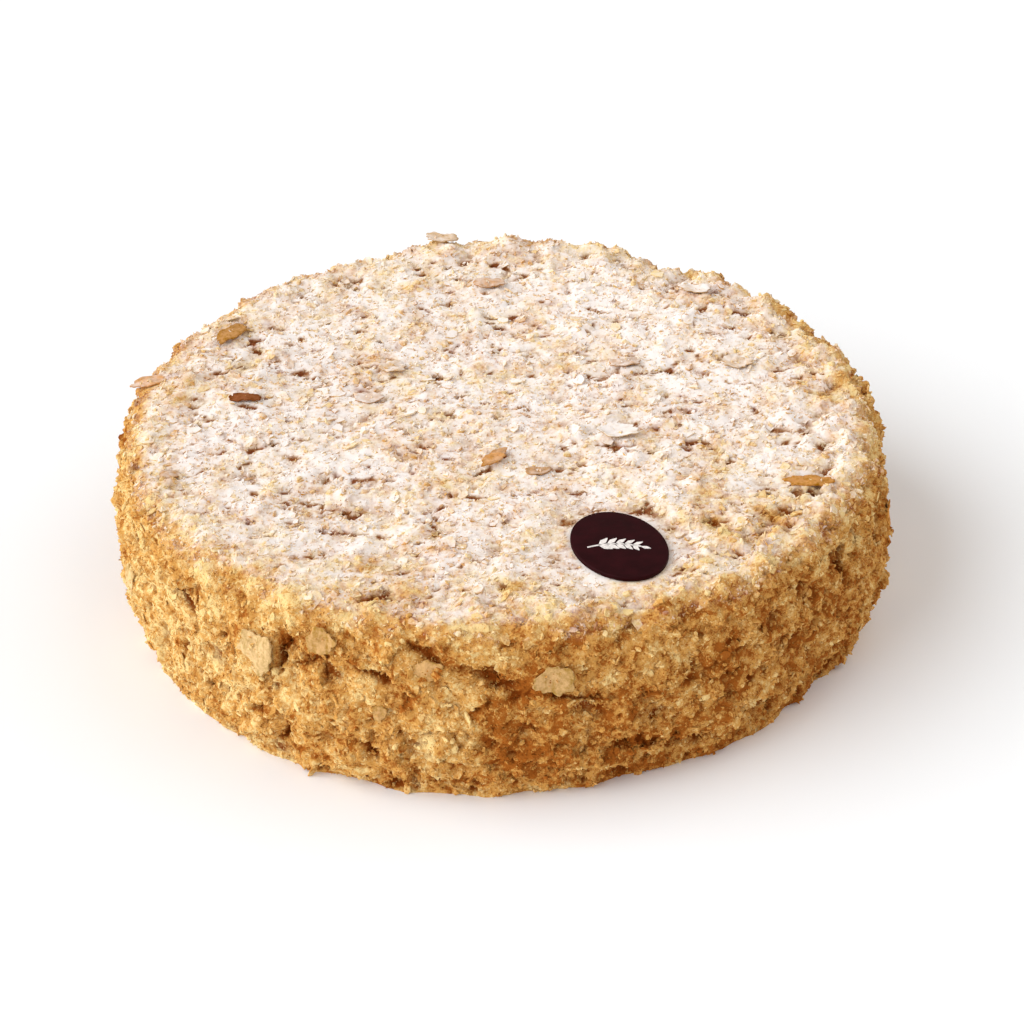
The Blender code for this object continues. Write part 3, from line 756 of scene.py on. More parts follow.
def roughen_crust(bm, settings):
    """Moves the crust's points along their normals, less near the floor and not under the plaque."""
    bm.normal_update()
    verts = [vert for vert in bm.verts if vert.co.z > 0.0]
    points = np.array([vert.co for vert in verts])
    ups = upness(points)
    hollows = hollows_at(points)[0] - clumps_at(points)
    seated = 1.0 - smooth_step(0.0, SEAT_FADE, beyond_plaque(points))
    freed = smooth_step(0.0, FOOT_FADE, points[:, 2]) * (1.0 - seated * (points[:, 2] > SHOULDER_HEIGHT))
    normals = [vert.normal.copy() for vert in verts]
    limits = ((*CAD_BOX[0][:2], LOWEST), CAD_BOX[1])
    beds = 1.0 - smooth_step(*BED_REACH, beyond_flakes(points))
    rows = zip(verts, normals, ups, rim_at(points), hollows, freed, beds)
    for vert, normal, up, rim, hollow, free, bed in rows:
        out = blend(crust_relief(vert.co, up, rim, settings) - hollow, -BROAD_BED, bed) - settings.sink
        vert.co += normal * out * free
        vert.co = [min(max(value, low), high) for value, low, high in zip(vert.co, *limits)]


def evened(points, edges, rounds):
    """The points after each has moved to the mean of its neighbours this many times."""
    ends = np.concatenate([edges, edges[:, ::-1]])
    total = len(points)
    shares = 1.0 / np.maximum(np.bincount(ends[:, 0], minlength=total), 1)
    for _ in range(rounds):
        sums = [np.bincount(ends[:, 0], points[ends[:, 1], axis], total) for axis in range(3)]
        points = np.stack(sums, axis=1) * shares[:, None]
    return points


def mesh_arrays(mesh):
    """Points, normals and triangles of a mesh as arrays."""
    points = np.empty(len(mesh.vertices) * 3, np.float32)
    mesh.vertices.foreach_get("co", points)
    normals = np.empty(len(mesh.vertices) * 3, np.float32)
    mesh.vertices.foreach_get("normal", normals)
    mesh.calc_loop_triangles()
    faces = np.empty(len(mesh.loop_triangles) * 3, np.int32)
    mesh.loop_triangles.foreach_get("vertices", faces)
    points, normals = (values.reshape(-1, 3).astype(float) for values in (points, normals))
    return points, normals, faces.reshape(-1, 3)


def store_relief(mesh):
    """Stores how far each point stands out from the evened surface, in mm. The gaps are below 0."""
    points, normals, _ = mesh_arrays(mesh)
    edges = np.empty(len(mesh.edges) * 2, np.int32)
    mesh.edges.foreach_get("vertices", edges)
    level = evened(points, edges.reshape(-1, 2), EVENING_ROUNDS)
    relief = np.einsum("ij,ij->i", points - level, normals) / MM
    relief[points[:, 2] < FOOT_FADE] = 0.0
    set_attribute(mesh, "relief", relief)


class NAPOLEON_OT_crust(bpy.types.Operator):
    """Make the crust under the loose crumbs from the cake's solid"""

    bl_idname = "napoleon.make_crust"
    bl_label = "Make Crust"

    def execute(self, context):
        settings = context.scene.napoleon_crust
        bm = remeshed_cake(settings.grain)
        flatten_foot(bm)
        for _ in range(FACET_SMOOTHING):
            above = [vert for vert in bm.verts if vert.co.z > 0.0]
            bmesh.ops.smooth_vert(
                bm, verts=above, factor=0.5, use_axis_x=True, use_axis_y=True, use_axis_z=True
            )
        roughen_crust(bm, settings)
        bmesh.ops.recalc_face_normals(bm, faces=bm.faces[:])
        crust = new_piece("cake_core", bm)
        crust.data.shade_smooth()
        store_relief(crust.data)
        points, _, _ = mesh_arrays(crust.data)
        _, shade = hollows_at(points)
        set_attribute(crust.data, "shade", shade)
        veil = blend(RIM_CRUST_SUGAR, 1.0, smooth_step(*ONTO_TOP, upness(points)))
        set_attribute(crust.data, "dusting", veil * dusting_at(points, context.scene.napoleon_sugar))
        # The tone: the crust's own noise, plus patches that are partly baking and partly painted light and
        # shade, less painted shade round the hollows that is partly toasted crumb, and less painted shade
        # below the loose crumbs
        own = 0.5 + 0.5 * noise_at(points, CRUST_TONE_SPAN, 3)
        tone = own + baking_and_light_at(points) - TOAST_AND_SHADE_HALO * np.sqrt(shade) - UNDER_CRUMB_SHADE
        set_attribute(crust.data, "tone", tone)
        finish_piece(crust, crumb_material(context.scene))
        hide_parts("cake")
        return {"FINISHED"}


# Crumbs and flakes


def shape_arrays(make, rng):
    """Several variants of one small shape: their points as (variants, points, 3), and their triangles."""
    variants = []
    for _ in range(SHAPE_VARIANTS):
        bm = make(rng)
        bmesh.ops.triangulate(bm, faces=bm.faces[:])
        bm.verts.index_update()
        variants.append([vert.co[:] for vert in bm.verts])
        faces = [[vert.index for vert in face.verts] for face in bm.faces]
        bm.free()
    return np.array(variants), np.array(faces)


def fine_crumb(rng):
    """A gritty splinter, about 1 across."""
    bm = bmesh.new()
    bmesh.ops.create_cone(
        bm, cap_ends=True, segments=3, radius1=FINE_RADIUS, radius2=0.0, depth=FINE_LENGTH
    )
    for vert in bm.verts:
        vert.co *= rng.uniform(*FINE_RAGGED)
    return bm


def coarse_crumb(rng):
    """A rounder lump, about 1 across."""
    bm = bmesh.new()
    bmesh.ops.create_icosphere(bm, subdivisions=1, radius=0.5)
    for vert in bm.verts:
        vert.co *= rng.uniform(*COARSE_RAGGED)
    return bm


def thin_flake(rng):
    """A ragged scrap of baked sheet, about 1 across and 1 thick, bent a little."""
    bm = bmesh.new()
    bmesh.ops.create_circle(bm, cap_ends=True, radius=0.5, segments=FLAKE_CORNERS)
    for vert in bm.verts:
        vert.co.xy *= rng.uniform(*FLAKE_RAGGED)
    raise_face(bm, 1.0)
    bend = rng.uniform(-FLAKE_BEND, FLAKE_BEND)
    for vert in bm.verts:
        vert.co.z += bend * 4.0 * vert.co.x * vert.co.x - 0.5
    return bm


def triangle_weights(points, faces, on_top):
    """How likely a crumb lands on each triangle: by its area, on the top or on the side."""
    a, b, c = (points[faces[:, corner]] for corner in range(3))
    area = np.linalg.norm(np.cross(b - a, c - a), axis=1)
    middle = (a + b + c) / 3.0
    up = smooth_step(*ONTO_RIM, upness(middle))
    region = up if on_top else 1.0 - up
    return area * region * (middle[:, 2] > LOWEST)


def pick_spots(rng, crust, count, on_top):
    """Random spots on the crust: their points, normals and relief."""
    points, normals, faces = mesh_arrays(crust.data)
    relief = np.empty(len(points), np.float32)
    crust.data.attributes["relief"].data.foreach_get("value", relief)
    weights = triangle_weights(points, faces, on_top)
    chosen = faces[rng.choice(len(faces), size=count, p=weights / weights.sum())]
    corners = rng.dirichlet((1.0, 1.0, 1.0), size=count)
    spots = np.einsum("ic,icx->ix", corners, points[chosen])
    outwards = np.einsum("ic,icx->ix", corners, normals[chosen])
    outwards /= np.linalg.norm(outwards, axis=1, keepdims=True)
    return spots, outwards, np.einsum("ic,ic->i", corners, relief[chosen])


def tumbled(rng, count):
    """Random rotations, as (count, 3, 3)."""
    q = rng.normal(size=(count, 4))
    w, x, y, z = (q / np.linalg.norm(q, axis=1, keepdims=True)).T
    rows = (
        (1 - 2 * (y * y + z * z), 2 * (x * y - z * w), 2 * (x * z + y * w)),
        (2 * (x * y + z * w), 1 - 2 * (x * x + z * z), 2 * (y * z - x * w)),
        (2 * (x * z - y * w), 2 * (y * z + x * w), 1 - 2 * (x * x + y * y)),
    )
    return np.array(rows).transpose(2, 0, 1)


def lying(rng, normals, tilt):
    """Rotations that lay each piece on the surface, turned at random and tilted by about this much."""
    count = len(normals)
    tilted = normals + rng.normal(scale=tilt, size=(count, 3))
    up = tilted / np.linalg.norm(tilted, axis=1, keepdims=True)
    along = np.cross(up, rng.normal(size=(count, 3)))
    along /= np.linalg.norm(along, axis=1, keepdims=True)
    return np.stack([along, np.cross(up, along), up], axis=2)


def inside_box(shapes, margin):
    """True for each shape whose points all lie in the solid's own box."""
    low, high = np.array(CAD_BOX[0]), np.array(CAD_BOX[1]) - margin
    low[:2] += margin
    return ((shapes >= low) & (shapes <= high)).all(axis=(1, 2))


def scatter(context, name, on_top, count, sizes, make, clearing, flat_thickness=None):
    """One piece of many small shapes, scattered over the crust's side or top."""
    rng = np.random.default_rng([SEED, len(name), ord(name[0]), ord(name[-1])])
    spots, normals, relief = pick_spots(rng, bpy.data.objects["cake_core"], count, on_top)
    _, shade = hollows_at(spots)
    size = blend(sizes[0], sizes[1], rng.random(count) ** MOSTLY_SMALL)
    widths = FLAKE_WIDTHS if flat_thickness else CRUMB_WIDTHS
    scale = [size, size * rng.uniform(*widths, count), size * rng.uniform(*CRUMB_HEIGHTS, count)]
    scale = np.stack(scale, axis=1)
    if flat_thickness:
        scale[:, 2] = flat_thickness * rng.uniform(*FLAKE_THICKNESSES, count)
        turns = lying(rng, normals, TOP_TILT if on_top else SIDE_TILT)
        lift = scale[:, 2] * rng.uniform(*FLAKE_LIFT, count)
    else:
        turns = tumbled(rng, count)
        up = smooth_step(*ONTO_TOP, upness(spots))
        lowest, highest = (blend(on_side, on_flat, up) for on_side, on_flat in zip(SIDE_LIFT, TOP_LIFT))
        lift = size * blend(lowest, highest, rng.random(count))
    spots = spots + normals * lift[:, None]
    overlap = FINE_OVERLAP if make is fine_crumb else COARSE_OVERLAP
    on_flake = beyond_flakes(spots) < overlap
    settled = on_flake & (make is fine_crumb) & (rng.random(count) < ON_FLAKE)
    spots = spots + normals * (ON_FLAKE_LIFT * settled)[:, None]
    variants, triangles = shape_arrays(make, rng)
    picked = variants[rng.integers(len(variants), size=count)] * scale[:, None, :]
    shapes = np.einsum("nij,nvj->nvi", turns, picked) + spots[:, None, :]
    shapes[:, :, 2] = np.maximum(shapes[:, :, 2], LOWEST)
    kept = inside_box(shapes, BOX_MARGIN) & (settled | ~on_flake)
    kept &= ~((spots[:, 2] > SHOULDER_HEIGHT) & (beyond_plaque(spots) < PLAQUE_CLEARING * size))
    kept &= rng.random(count) > (TOP_CLEARING if on_top else clearing) * shade
    shapes, spots, relief, size, shade = (item[kept] for item in (shapes, spots, relief, size, shade))
    total, each = shapes.shape[:2]
    faces = (triangles[None] + each * np.arange(total)[:, None, None]).reshape(-1, 3)
    piece = joined_piece(name, shapes.reshape(-1, 3), faces)
    up = upness(spots)
    level = smooth_step(*ONTO_TOP, up)
    bare_on_top = blend(*BARE_CRUMBS, smooth_step(*BARE_SIZES, size))
    bare = rng.random(total) < blend(BARE_RIM, bare_on_top, level)
    own = OWN_TONE * (1.0 - EVENER_TOP * up) * (rng.random(total) - 0.5)
    sugar = dusting_at(spots, context.scene.napoleon_sugar) * np.where(bare, BARE_SUGAR, 1.0)
    # Relief sets how much painted shade of the gaps each crumb takes. Its tone takes patches that are partly
    # baking and partly painted light and shade, and painted shade round the hollows that is partly toasted
    # crumb
    values = {
        "relief": np.maximum(relief + CRUMB_RELIEF * size / MM, LEAST_RELIEF),
        "shade": shade,
        "tone": 0.5 + own + baking_and_light_at(spots) - TOAST_AND_SHADE_HALO * np.sqrt(shade),
        "dusting": sugar * blend(RIM_CRUMB_SUGAR, 1.0, level),
    }
    for attribute_name, value in values.items():
        set_attribute(piece.data, attribute_name, np.repeat(value, each))
    finish_piece(piece, crumb_material(context.scene))


class NAPOLEON_OT_fine_crumbs(bpy.types.Operator):
    """Scatter the fine and medium crumbs over the side and the top"""

    bl_idname = "napoleon.scatter_fine_crumbs"
    bl_label = "Scatter Fine Crumbs"

    def execute(self, context):
        crumbs = context.scene.napoleon_crumbs
        kinds = (
            ("fine_crumbs_side", False, crumbs.fine_count, crumbs.fine_size),
            ("fine_crumbs_top", True, crumbs.fine_top_count, crumbs.fine_size),
            ("medium_crumbs_side", False, crumbs.medium_count, crumbs.medium_size),
            ("medium_crumbs_top", True, crumbs.medium_count, crumbs.medium_size),
        )
        for kind in kinds:
            scatter(context, *kind, fine_crumb, FINE_CLEARING)
        return {"FINISHED"}


class NAPOLEON_OT_coarse_crumbs(bpy.types.Operator):
    """Scatter the coarse crumbs over the side and the top"""

    bl_idname = "napoleon.scatter_coarse_crumbs"
    bl_label = "Scatter Coarse Crumbs"

    def execute(self, context):
        crumbs = context.scene.napoleon_crumbs
        kinds = (
            ("coarse_crumbs_side", False, crumbs.coarse_count),
            ("coarse_crumbs_top", True, crumbs.coarse_top_count),
        )
        for name, on_top, count in kinds:
            scatter(context, name, on_top, count, crumbs.coarse_size, coarse_crumb, COARSE_CLEARING)
        return {"FINISHED"}


class NAPOLEON_OT_thin_flakes(bpy.types.Operator):
    """Scatter the thin flakes over the side and the top"""

    bl_idname = "napoleon.scatter_thin_flakes"
    bl_label = "Scatter Thin Flakes"

    def execute(self, context):
        crumbs = context.scene.napoleon_crumbs
        kinds = (
            ("thin_flakes_side", False, crumbs.flake_count, crumbs.flake_size),
            ("thin_flakes_top", True, crumbs.flake_top_count, crumbs.flake_top_size),
        )
        for kind in kinds:
            scatter(context, *kind, thin_flake, COARSE_CLEARING, crumbs.flake_thickness)
        return {"FINISHED"}


def broad_flake(rng, item):
    """A larger scrap of baked sheet, ragged, thin, curled and blistered."""
    bm = bmesh.new()
    bmesh.ops.create_grid(bm, x_segments=BROAD_GRID, y_segments=BROAD_GRID, size=1.0)
    shift = Vector(rng.uniform(-BROAD_START, BROAD_START, 3))
    curl = rng.uniform(-1.0, 1.0) * BROAD_CURL
    for vert in bm.verts:
        u, v = vert.co.xy
        round_off = Vector((u * math.sqrt(1.0 - v * v / 2.0), v * math.sqrt(1.0 - u * u / 2.0), 0.0))
        heading = round_off.normalized()
        ragged = sum(weight * noise.noise(heading * turns + shift) for turns, weight in BROAD_WAVES)
        spread = round_off * (1.0 + BROAD_RAGGED * ragged * round_off.length)
        vert.co = Vector((spread.x * item.length, spread.y * item.width, 0.0)) * MM / 2.0
        blister = BLISTER_DEPTH * noise.noise(vert.co / BLISTER_SPAN + shift)
        ripple = RIPPLE_DEPTH * noise.noise(vert.co / RIPPLE_SPAN + shift)
        vert.co.z = blister + ripple + curl * spread.x**2
    bmesh.ops.solidify(bm, geom=bm.faces[:], thickness=BROAD_THICKNESS)
    bmesh.ops.recalc_face_normals(bm, faces=bm.faces[:])
    return bm


def moved_inside(bm):
    """Shifts a piece back into the solid's own box where it stands out of it."""
    low, high = Vector(CAD_BOX[0]), Vector(CAD_BOX[1])
    shift = Vector((0.0, 0.0, 0.0))
    for axis in range(3):
        values = [vert.co[axis] for vert in bm.verts]
        shift[axis] = max(0.0, low[axis] - min(values)) + min(0.0, high[axis] - max(values))
    bmesh.ops.translate(bm, verts=bm.verts[:], vec=shift)


class NAPOLEON_OT_broad_flakes(bpy.types.Operator):
    """Lay the broad flakes on the solid's own flakes"""

    bl_idname = "napoleon.lay_broad_flakes"
    bl_label = "Lay Broad Flakes"

    def execute(self, context):
        rng = np.random.default_rng(SEED)
        joined = bmesh.new()
        rims, tints, dustings = [], [], []
        for item, placement in flake_places():
            bm = broad_flake(rng, item)
            for vert in bm.verts:
                rims.append(math.hypot(vert.co.x / item.length, vert.co.y / item.width) / MM * 2.0)
                tints.append((*item.tint, 1.0))
                dustings.append(getattr(item, "dusting", 0.0))
            lifted = placement @ Matrix.Translation((0.0, 0.0, BROAD_LIFT))
            bmesh.ops.transform(bm, matrix=lifted, verts=bm.verts[:])
            moved_inside(bm)
            join(joined, bm)
        piece = new_piece("broad_flakes", joined)
        piece.data.shade_smooth()
        for name, values in (("rim", rims), ("tint", tints), ("dusting", dustings)):
            set_attribute(piece.data, name, np.array(values))
        finish_piece(piece, flake_material(context.scene))
        return {"FINISHED"}


# The plaque


class NAPOLEON_OT_plaque(bpy.types.Operator):
    """Make the oval chocolate plaque"""

    bl_idname = "napoleon.make_plaque"
    bl_label = "Make Plaque"

    def execute(self, context):
        settings = context.scene.napoleon_plaque
        bm = bmesh.new()
        bmesh.ops.create_circle(bm, cap_ends=True, radius=0.5, segments=PLAQUE_CORNERS)
        bmesh.ops.scale(bm, verts=bm.verts[:], vec=(PLAQUE_LENGTH, PLAQUE_WIDTH, 1.0))
        raise_face(bm, PLAQUE_THICKNESS)
        rims = [edge for edge in bm.edges if abs(edge.verts[0].co.z - edge.verts[1].co.z) < WELD]
        rounding = {"offset": settings.edge, "segments": PLAQUE_EDGE_STEPS, "profile": 0.5}
        bmesh.ops.bevel(bm, geom=rims, affect="EDGES", material=-1, **rounding)
        placed = Matrix.Translation(PLAQUE_PLACE) @ Matrix.Rotation(PLAQUE_TURN, 4, "Z")
        bmesh.ops.transform(bm, matrix=placed, verts=bm.verts[:])
        plaque = new_piece("chocolate_plaque", bm)
        plaque.data.shade_smooth()
        finish_piece(plaque, chocolate_material(context.scene))
        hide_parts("plaque")
        return {"FINISHED"}


def leaf(length):
    """A pointed oval leaf of this length, lying along +X from the origin."""
    bm = bmesh.new()
    bmesh.ops.create_circle(bm, cap_ends=True, radius=0.5, segments=LEAF_CORNERS)
    for vert in bm.verts:
        vert.co.y *= 1.0 - LEAF_POINT * abs(vert.co.x)
        vert.co.x += 0.5
    bmesh.ops.scale(bm, verts=bm.verts[:], vec=(length, LEAF_WIDTH * length, 1.0))
    raise_face(bm, SPRIG_HEIGHT)
    return bm


def stem(radius):
    """The sprig's stem, bent round the origin at this radius, with its middle straight up the Y axis."""
    bm = bmesh.new()
    ends = [bm.verts.new((0.0, radius + side * STEM_WIDTH / 2.0, 0.0)) for side in (-1.0, 1.0)]
    edge = bm.edges.new(ends)
    middle, axis = (0.0, 0.0, 0.0), (0.0, 0.0, 1.0)
    bmesh.ops.spin(bm, geom=[edge], cent=middle, axis=axis, angle=STEM_SWEEP, steps=STEM_STEPS)
    back = Matrix.Rotation(-STEM_SWEEP / 2.0, 3, "Z")
    bmesh.ops.rotate(bm, verts=bm.verts[:], cent=middle, matrix=back)
    raise_face(bm, SPRIG_HEIGHT)
    return bm


class NAPOLEON_OT_sprig(bpy.types.Operator):
    """Print a small leafy sprig on the plaque"""

    bl_idname = "napoleon.print_sprig"
    bl_label = "Print Sprig"

    def execute(self, context):
        settings = context.scene.napoleon_plaque
        radius = settings.sprig_length / STEM_SWEEP
        joined = stem(radius)
        for index in range(LEAF_PAIRS + 1):
            part = index / LEAF_PAIRS
            angle = math.pi / 2.0 + STEM_SWEEP / 2.0 - STEM_SWEEP * blend(LEAVES_FROM, 1.0, part)
            spot = Vector((radius * math.cos(angle), radius * math.sin(angle), 0.0))
            for spread in (0.0,) if index == LEAF_PAIRS else (-LEAF_SPREAD, LEAF_SPREAD):
                bm = leaf(blend(*LEAF_LENGTHS, part))
                turned = Matrix.Rotation(angle - math.pi / 2.0 + spread, 4, "Z")
                bmesh.ops.transform(bm, matrix=Matrix.Translation(spot) @ turned, verts=bm.verts[:])
                join(joined, bm)
        above = Vector((*SPRIG_OFFSET, PLAQUE_THICKNESS - SPRIG_SUNK))
        place = PLAQUE_PLACE + above - Vector((0.0, radius * math.cos(STEM_SWEEP / 4.0), 0.0))
        bmesh.ops.translate(joined, verts=joined.verts[:], vec=place)
        sprig = new_piece("printed_sprig", joined)
        finish_piece(sprig, print_material(context.scene))
        return {"FINISHED"}


# Materials

# Noises, as span, detail and roughness
BROAD_PATCHES, MIDDLING_PATCHES, FINE_MOTTLES = (14.0 * MM, 1.0), (3.5 * MM, 1.0), (0.8 * MM, 2.0, 0.7)
BROWN_SPECKS, FLAKE_STREAKS, FLAKE_MOTTLES = (0.5 * MM, 1.0), (2.4 * MM, 3.0), (1.8 * MM, 2.0)
VEIL_PATCHES, VEIL_GRAINS, VEIL_SPECKS = (3.2 * MM, 2.0, 0.6), (0.7 * MM, 1.0), (1.5 * MM, 1.0)
PASTRY_GRAINS, PRINT_WEAR = (0.9 * MM, 3.0, 0.65), (0.8 * MM, 2.0)
CHOCOLATE_CLOUDS, CHOCOLATE_WAVES, FLOOR_CLOUDS = (6.0 * MM, 3.0), (2.5 * MM, 2.0), (400.0 * MM, 1.0)
GRAIN_CELLS, PORE_CELLS = 1.1 * MM, 0.7 * MM
STREAK_STRETCH = (1.5, 1.5, 0.4)

# Weights of what makes a crumb paler or browner, a flake browner, and the sugar thicker
TONE_WEIGHT, GRAIN_WEIGHT, PATCH_WEIGHT, FINE_WEIGHT, SPECK_WEIGHT = 0.7, 0.3, 1.2, 0.9, -0.45
FLAKE_BROWNING, FLAKE_FINE_WEIGHT, STREAK_WEIGHT, EDGE_WEIGHT = 0.14, 1.6, 0.55, 0.3
VEIL_PATCH_WEIGHT, VEIL_GRAIN_WEIGHT, VEIL_SPECK_WEIGHT = 1.6, 0.2, -0.2
# The pit weights and OUT_OF_PIT set the painted shade in the gaps, partly toasted crumb; the veil's shade
# weight thins the sugar there so that this shade shows
PIT_FINE_WEIGHT, PIT_SHADE_WEIGHT, VEIL_SHADE_WEIGHT = 1.2, -1.1, -1.2
PORE_WEIGHT, SUGAR_LEVELLING, LEAST_OPEN = 0.5, -0.75, 0.03

# Where each look starts and where it is full
SPECKED, TOASTED_TO_GOLDEN, GOLDEN_TO_PALE, OUT_OF_PIT = (0.6, 0.74), (0.0, 0.42), (0.42, 0.95), (-2.2, 0.2)
FACING_UP, VEIL_SPECKED, VEILED, OPEN_TO_SUGAR = (-0.4, 0.8), (0.56, 0.7), (-0.4, 1.0), (-1.7, -0.2)
DUSTED, STREAKED, BROWN_EDGE = (0.0, 0.25), (0.42, 0.72), (0.7, 1.05)
CLOUDY, WORN = (0.3, 0.8), (0.25, 0.6)

# Faces: roughness, shine and depth of the bumps
CRUMB_ROUGHNESS, CRUMB_SHINE, CRUMB_BUMP = 0.85, 0.08, 0.25 * MM
FLAKE_ROUGHNESS, FLAKE_SHINE, FLAKE_BUMP, FLAKE_OPENNESS = 0.75, 0.1, 0.15 * MM, 0.6
CHOCOLATE_ROUGHNESS, CHOCOLATE_SHINE, CHOCOLATE_BUMP = (0.45, 0.6), 0.05, 0.05 * MM
CHOCOLATE_BLOOM, THIN_PRINT, FLOOR_SHADE = 1.7, 0.72, 0.985
CHALKINESS, EDGE_SATURATION, EDGE_VALUE = 0.8, 1.25, 0.6
SATIN_ROUGHNESS, FLOOR_ROUGHNESS = 0.5, 0.6


def shared_group(name, numbers, others, output, build):
    """A shader node group with these inputs and one output, built the first time it is asked for."""
    group = bpy.data.node_groups.get(name)
    if group is None:
        group = bpy.data.node_groups.new(name, "ShaderNodeTree")
        for socket, kind in [(socket, "Float") for socket in numbers] + others:
            group.interface.new_socket(socket, in_out="INPUT", socket_type="NodeSocket" + kind)
        group.interface.new_socket(output[0], in_out="OUTPUT", socket_type="NodeSocket" + output[1])
        given = group.nodes.new("NodeGroupInput").outputs
        result = group.nodes.new("NodeGroupOutput")
        group.links.new(build(group, given), result.inputs[0])
    return group


def add(tree, kind, fields=None, **inputs):
    """A node with these fields. An input's name has _ for a space, and its value may be a socket."""
    node = tree.nodes.new(kind)
    for field, value in (fields or {}).items():
        setattr(node, field, value)
    for name, value in inputs.items():
        key = int(name[1:]) if name[0] == "i" and name[1:].isdigit() else name.replace("_", " ")
        if isinstance(value, bpy.types.NodeSocket):
            tree.links.new(value, node.inputs[key])
        else:
            node.inputs[key].default_value = value
    return node


def maths(tree, operation, first, second=0.0, clamp=False):
    fields = {"operation": operation, "use_clamp": clamp}
    return add(tree, "ShaderNodeMath", fields, i0=first, i1=second).outputs[0]


def plus(tree, value, weight, other, clamp=False):
    """value plus weight times other."""
    fields = {"operation": "MULTIPLY_ADD", "use_clamp": clamp}
    return add(tree, "ShaderNodeMath", fields, i0=other, i1=weight, i2=value).outputs[0]


def ramp(tree, value, low, high):
    """Value eased from 0 at low to 1 at high."""
    fields = {"interpolation_type": "SMOOTHSTEP"}
    made = add(tree, "ShaderNodeMapRange", fields, Value=value, From_Min=low, From_Max=high)
    return made.outputs["Result"]


def mix(tree, factor, first, second):
    fields = {"data_type": "RGBA"}
    node = add(tree, "ShaderNodeMix", fields, i0=factor, i6=first, i7=second)
    return node.outputs[2]


def speckle(tree, vector, span, detail=2.0, roughness=0.55):
    """Noise of about 0 to 1 whose swings are about this long."""
    inputs = {"Vector": vector, "Scale": 1.0 / span, "Detail": detail, "Roughness": roughness}
    return add(tree, "ShaderNodeTexNoise", None, **inputs).outputs["Fac"]


def cells(tree, vector, span):
    return add(tree, "ShaderNodeTexVoronoi", None, Vector=vector, Scale=1.0 / span)


def offset_sum(tree, start, *terms):
    """start plus each (value, weight), where a value of 0.5 adds nothing."""
    total = start
    for value, weight in terms:
        total = maths(tree, "SUBTRACT", plus(tree, total, weight, value), 0.5 * weight)
    return total


def crumb_colour(group, given):
    """Colour of baked crumbs, by their own tone, patches and grains, darkened toward Pit by depth: painted
    shade, partly toasted crumb.
    """
    vector = given["Vector"]
    grains = cells(group, vector, GRAIN_CELLS).outputs["Color"]
    grain = add(group, "ShaderNodeSeparateColor", None, Color=grains).outputs["Red"]
    fine = speckle(group, vector, *FINE_MOTTLES)
    layers = (
        (given["Tone"], TONE_WEIGHT),
        (grain, GRAIN_WEIGHT),
        (speckle(group, vector, *BROAD_PATCHES), PATCH_WEIGHT),
        (speckle(group, vector, *MIDDLING_PATCHES), PATCH_WEIGHT),
        (fine, FINE_WEIGHT),
    )
    specks = ramp(group, speckle(group, vector, *BROWN_SPECKS), *SPECKED)
    tone = plus(group, offset_sum(group, 0.5, *layers), SPECK_WEIGHT, specks)
    browned = mix(group, ramp(group, tone, *TOASTED_TO_GOLDEN), given["Toasted"], given["Golden"])
    baked = mix(group, ramp(group, tone, *GOLDEN_TO_PALE), browned, given["Pale"])
    # Painted shade: low relief and a hollow's shade pull the colour toward Pit, partly toasted crumb
    sunk = offset_sum(group, given["Relief"], (fine, PIT_FINE_WEIGHT))
    sunk = plus(group, sunk, PIT_SHADE_WEIGHT, given["Shade"])
    return mix(group, ramp(group, sunk, *OUT_OF_PIT), given["Pit"], baked)


def crumb_colour_group():
    others = [(name, "Color") for name in ("Pale", "Golden", "Toasted", "Pit")] + [("Vector", "Vector")]
    numbers = ("Tone", "Relief", "Shade")
    return shared_group("Crumb colour", numbers, others, ("Color", "Color"), crumb_colour)


def sugar_mask(group, given):
    """Mask of the icing sugar: a veil on what faces up, patchy and grainy, and thinner in the gaps so that
    their painted shade shows.
    """
    vector = given["Vector"]
    normal = add(group, "ShaderNodeSeparateXYZ", None, Vector=given["Normal"])
    facing = ramp(group, normal.outputs["Z"], *FACING_UP)
    patchy = (speckle(group, vector, *VEIL_PATCHES), VEIL_PATCH_WEIGHT)
    grainy = (speckle(group, vector, *VEIL_GRAINS), VEIL_GRAIN_WEIGHT)
    specks = ramp(group, speckle(group, vector, *VEIL_SPECKS), *VEIL_SPECKED)
    cover = offset_sum(group, given["Dusting"], patchy, grainy)
    mask = ramp(group, plus(group, cover, VEIL_SPECK_WEIGHT, specks), *VEILED)
    # Thinner sugar where the relief is low or a hollow is shaded, which lets the painted shade there show
    sunk = plus(group, given["Relief"], VEIL_SHADE_WEIGHT, given["Shade"])
    open_share = plus(group, LEAST_OPEN, 1.0 - LEAST_OPEN, ramp(group, sunk, *OPEN_TO_SUGAR))
    dusted = ramp(group, given["Dusting"], *DUSTED)
    for share_of in (facing, open_share, dusted):
        mask = maths(group, "MULTIPLY", mask, share_of)
    return mask


def sugar_group():
    numbers, others = ("Dusting", "Relief", "Shade"), [("Vector", "Vector"), ("Normal", "Vector")]
    return shared_group("Icing sugar", numbers, others, ("Mask", "Float"), sugar_mask)


def grain_height(group, given):
    """Height of the fine grain of baked pastry, for a bump. Sugar levels it."""
    coarse = speckle(group, given["Vector"], *PASTRY_GRAINS)
    pores = cells(group, given["Vector"], PORE_CELLS).outputs["Distance"]
    height = plus(group, coarse, PORE_WEIGHT, pores)
    return maths(group, "MULTIPLY", height, plus(group, 1.0, SUGAR_LEVELLING, given["Sugar"]))


def grain_group():
    return shared_group("Pastry grain", ("Sugar",), [("Vector", "Vector")], ("Height", "Float"), grain_height)


def use_group(tree, group, **inputs):
    return add(tree, "ShaderNodeGroup", {"node_tree": group}, **inputs)


def attribute(tree, name, output="Fac"):
    return add(tree, "ShaderNodeAttribute", {"attribute_name": name}).outputs[output]


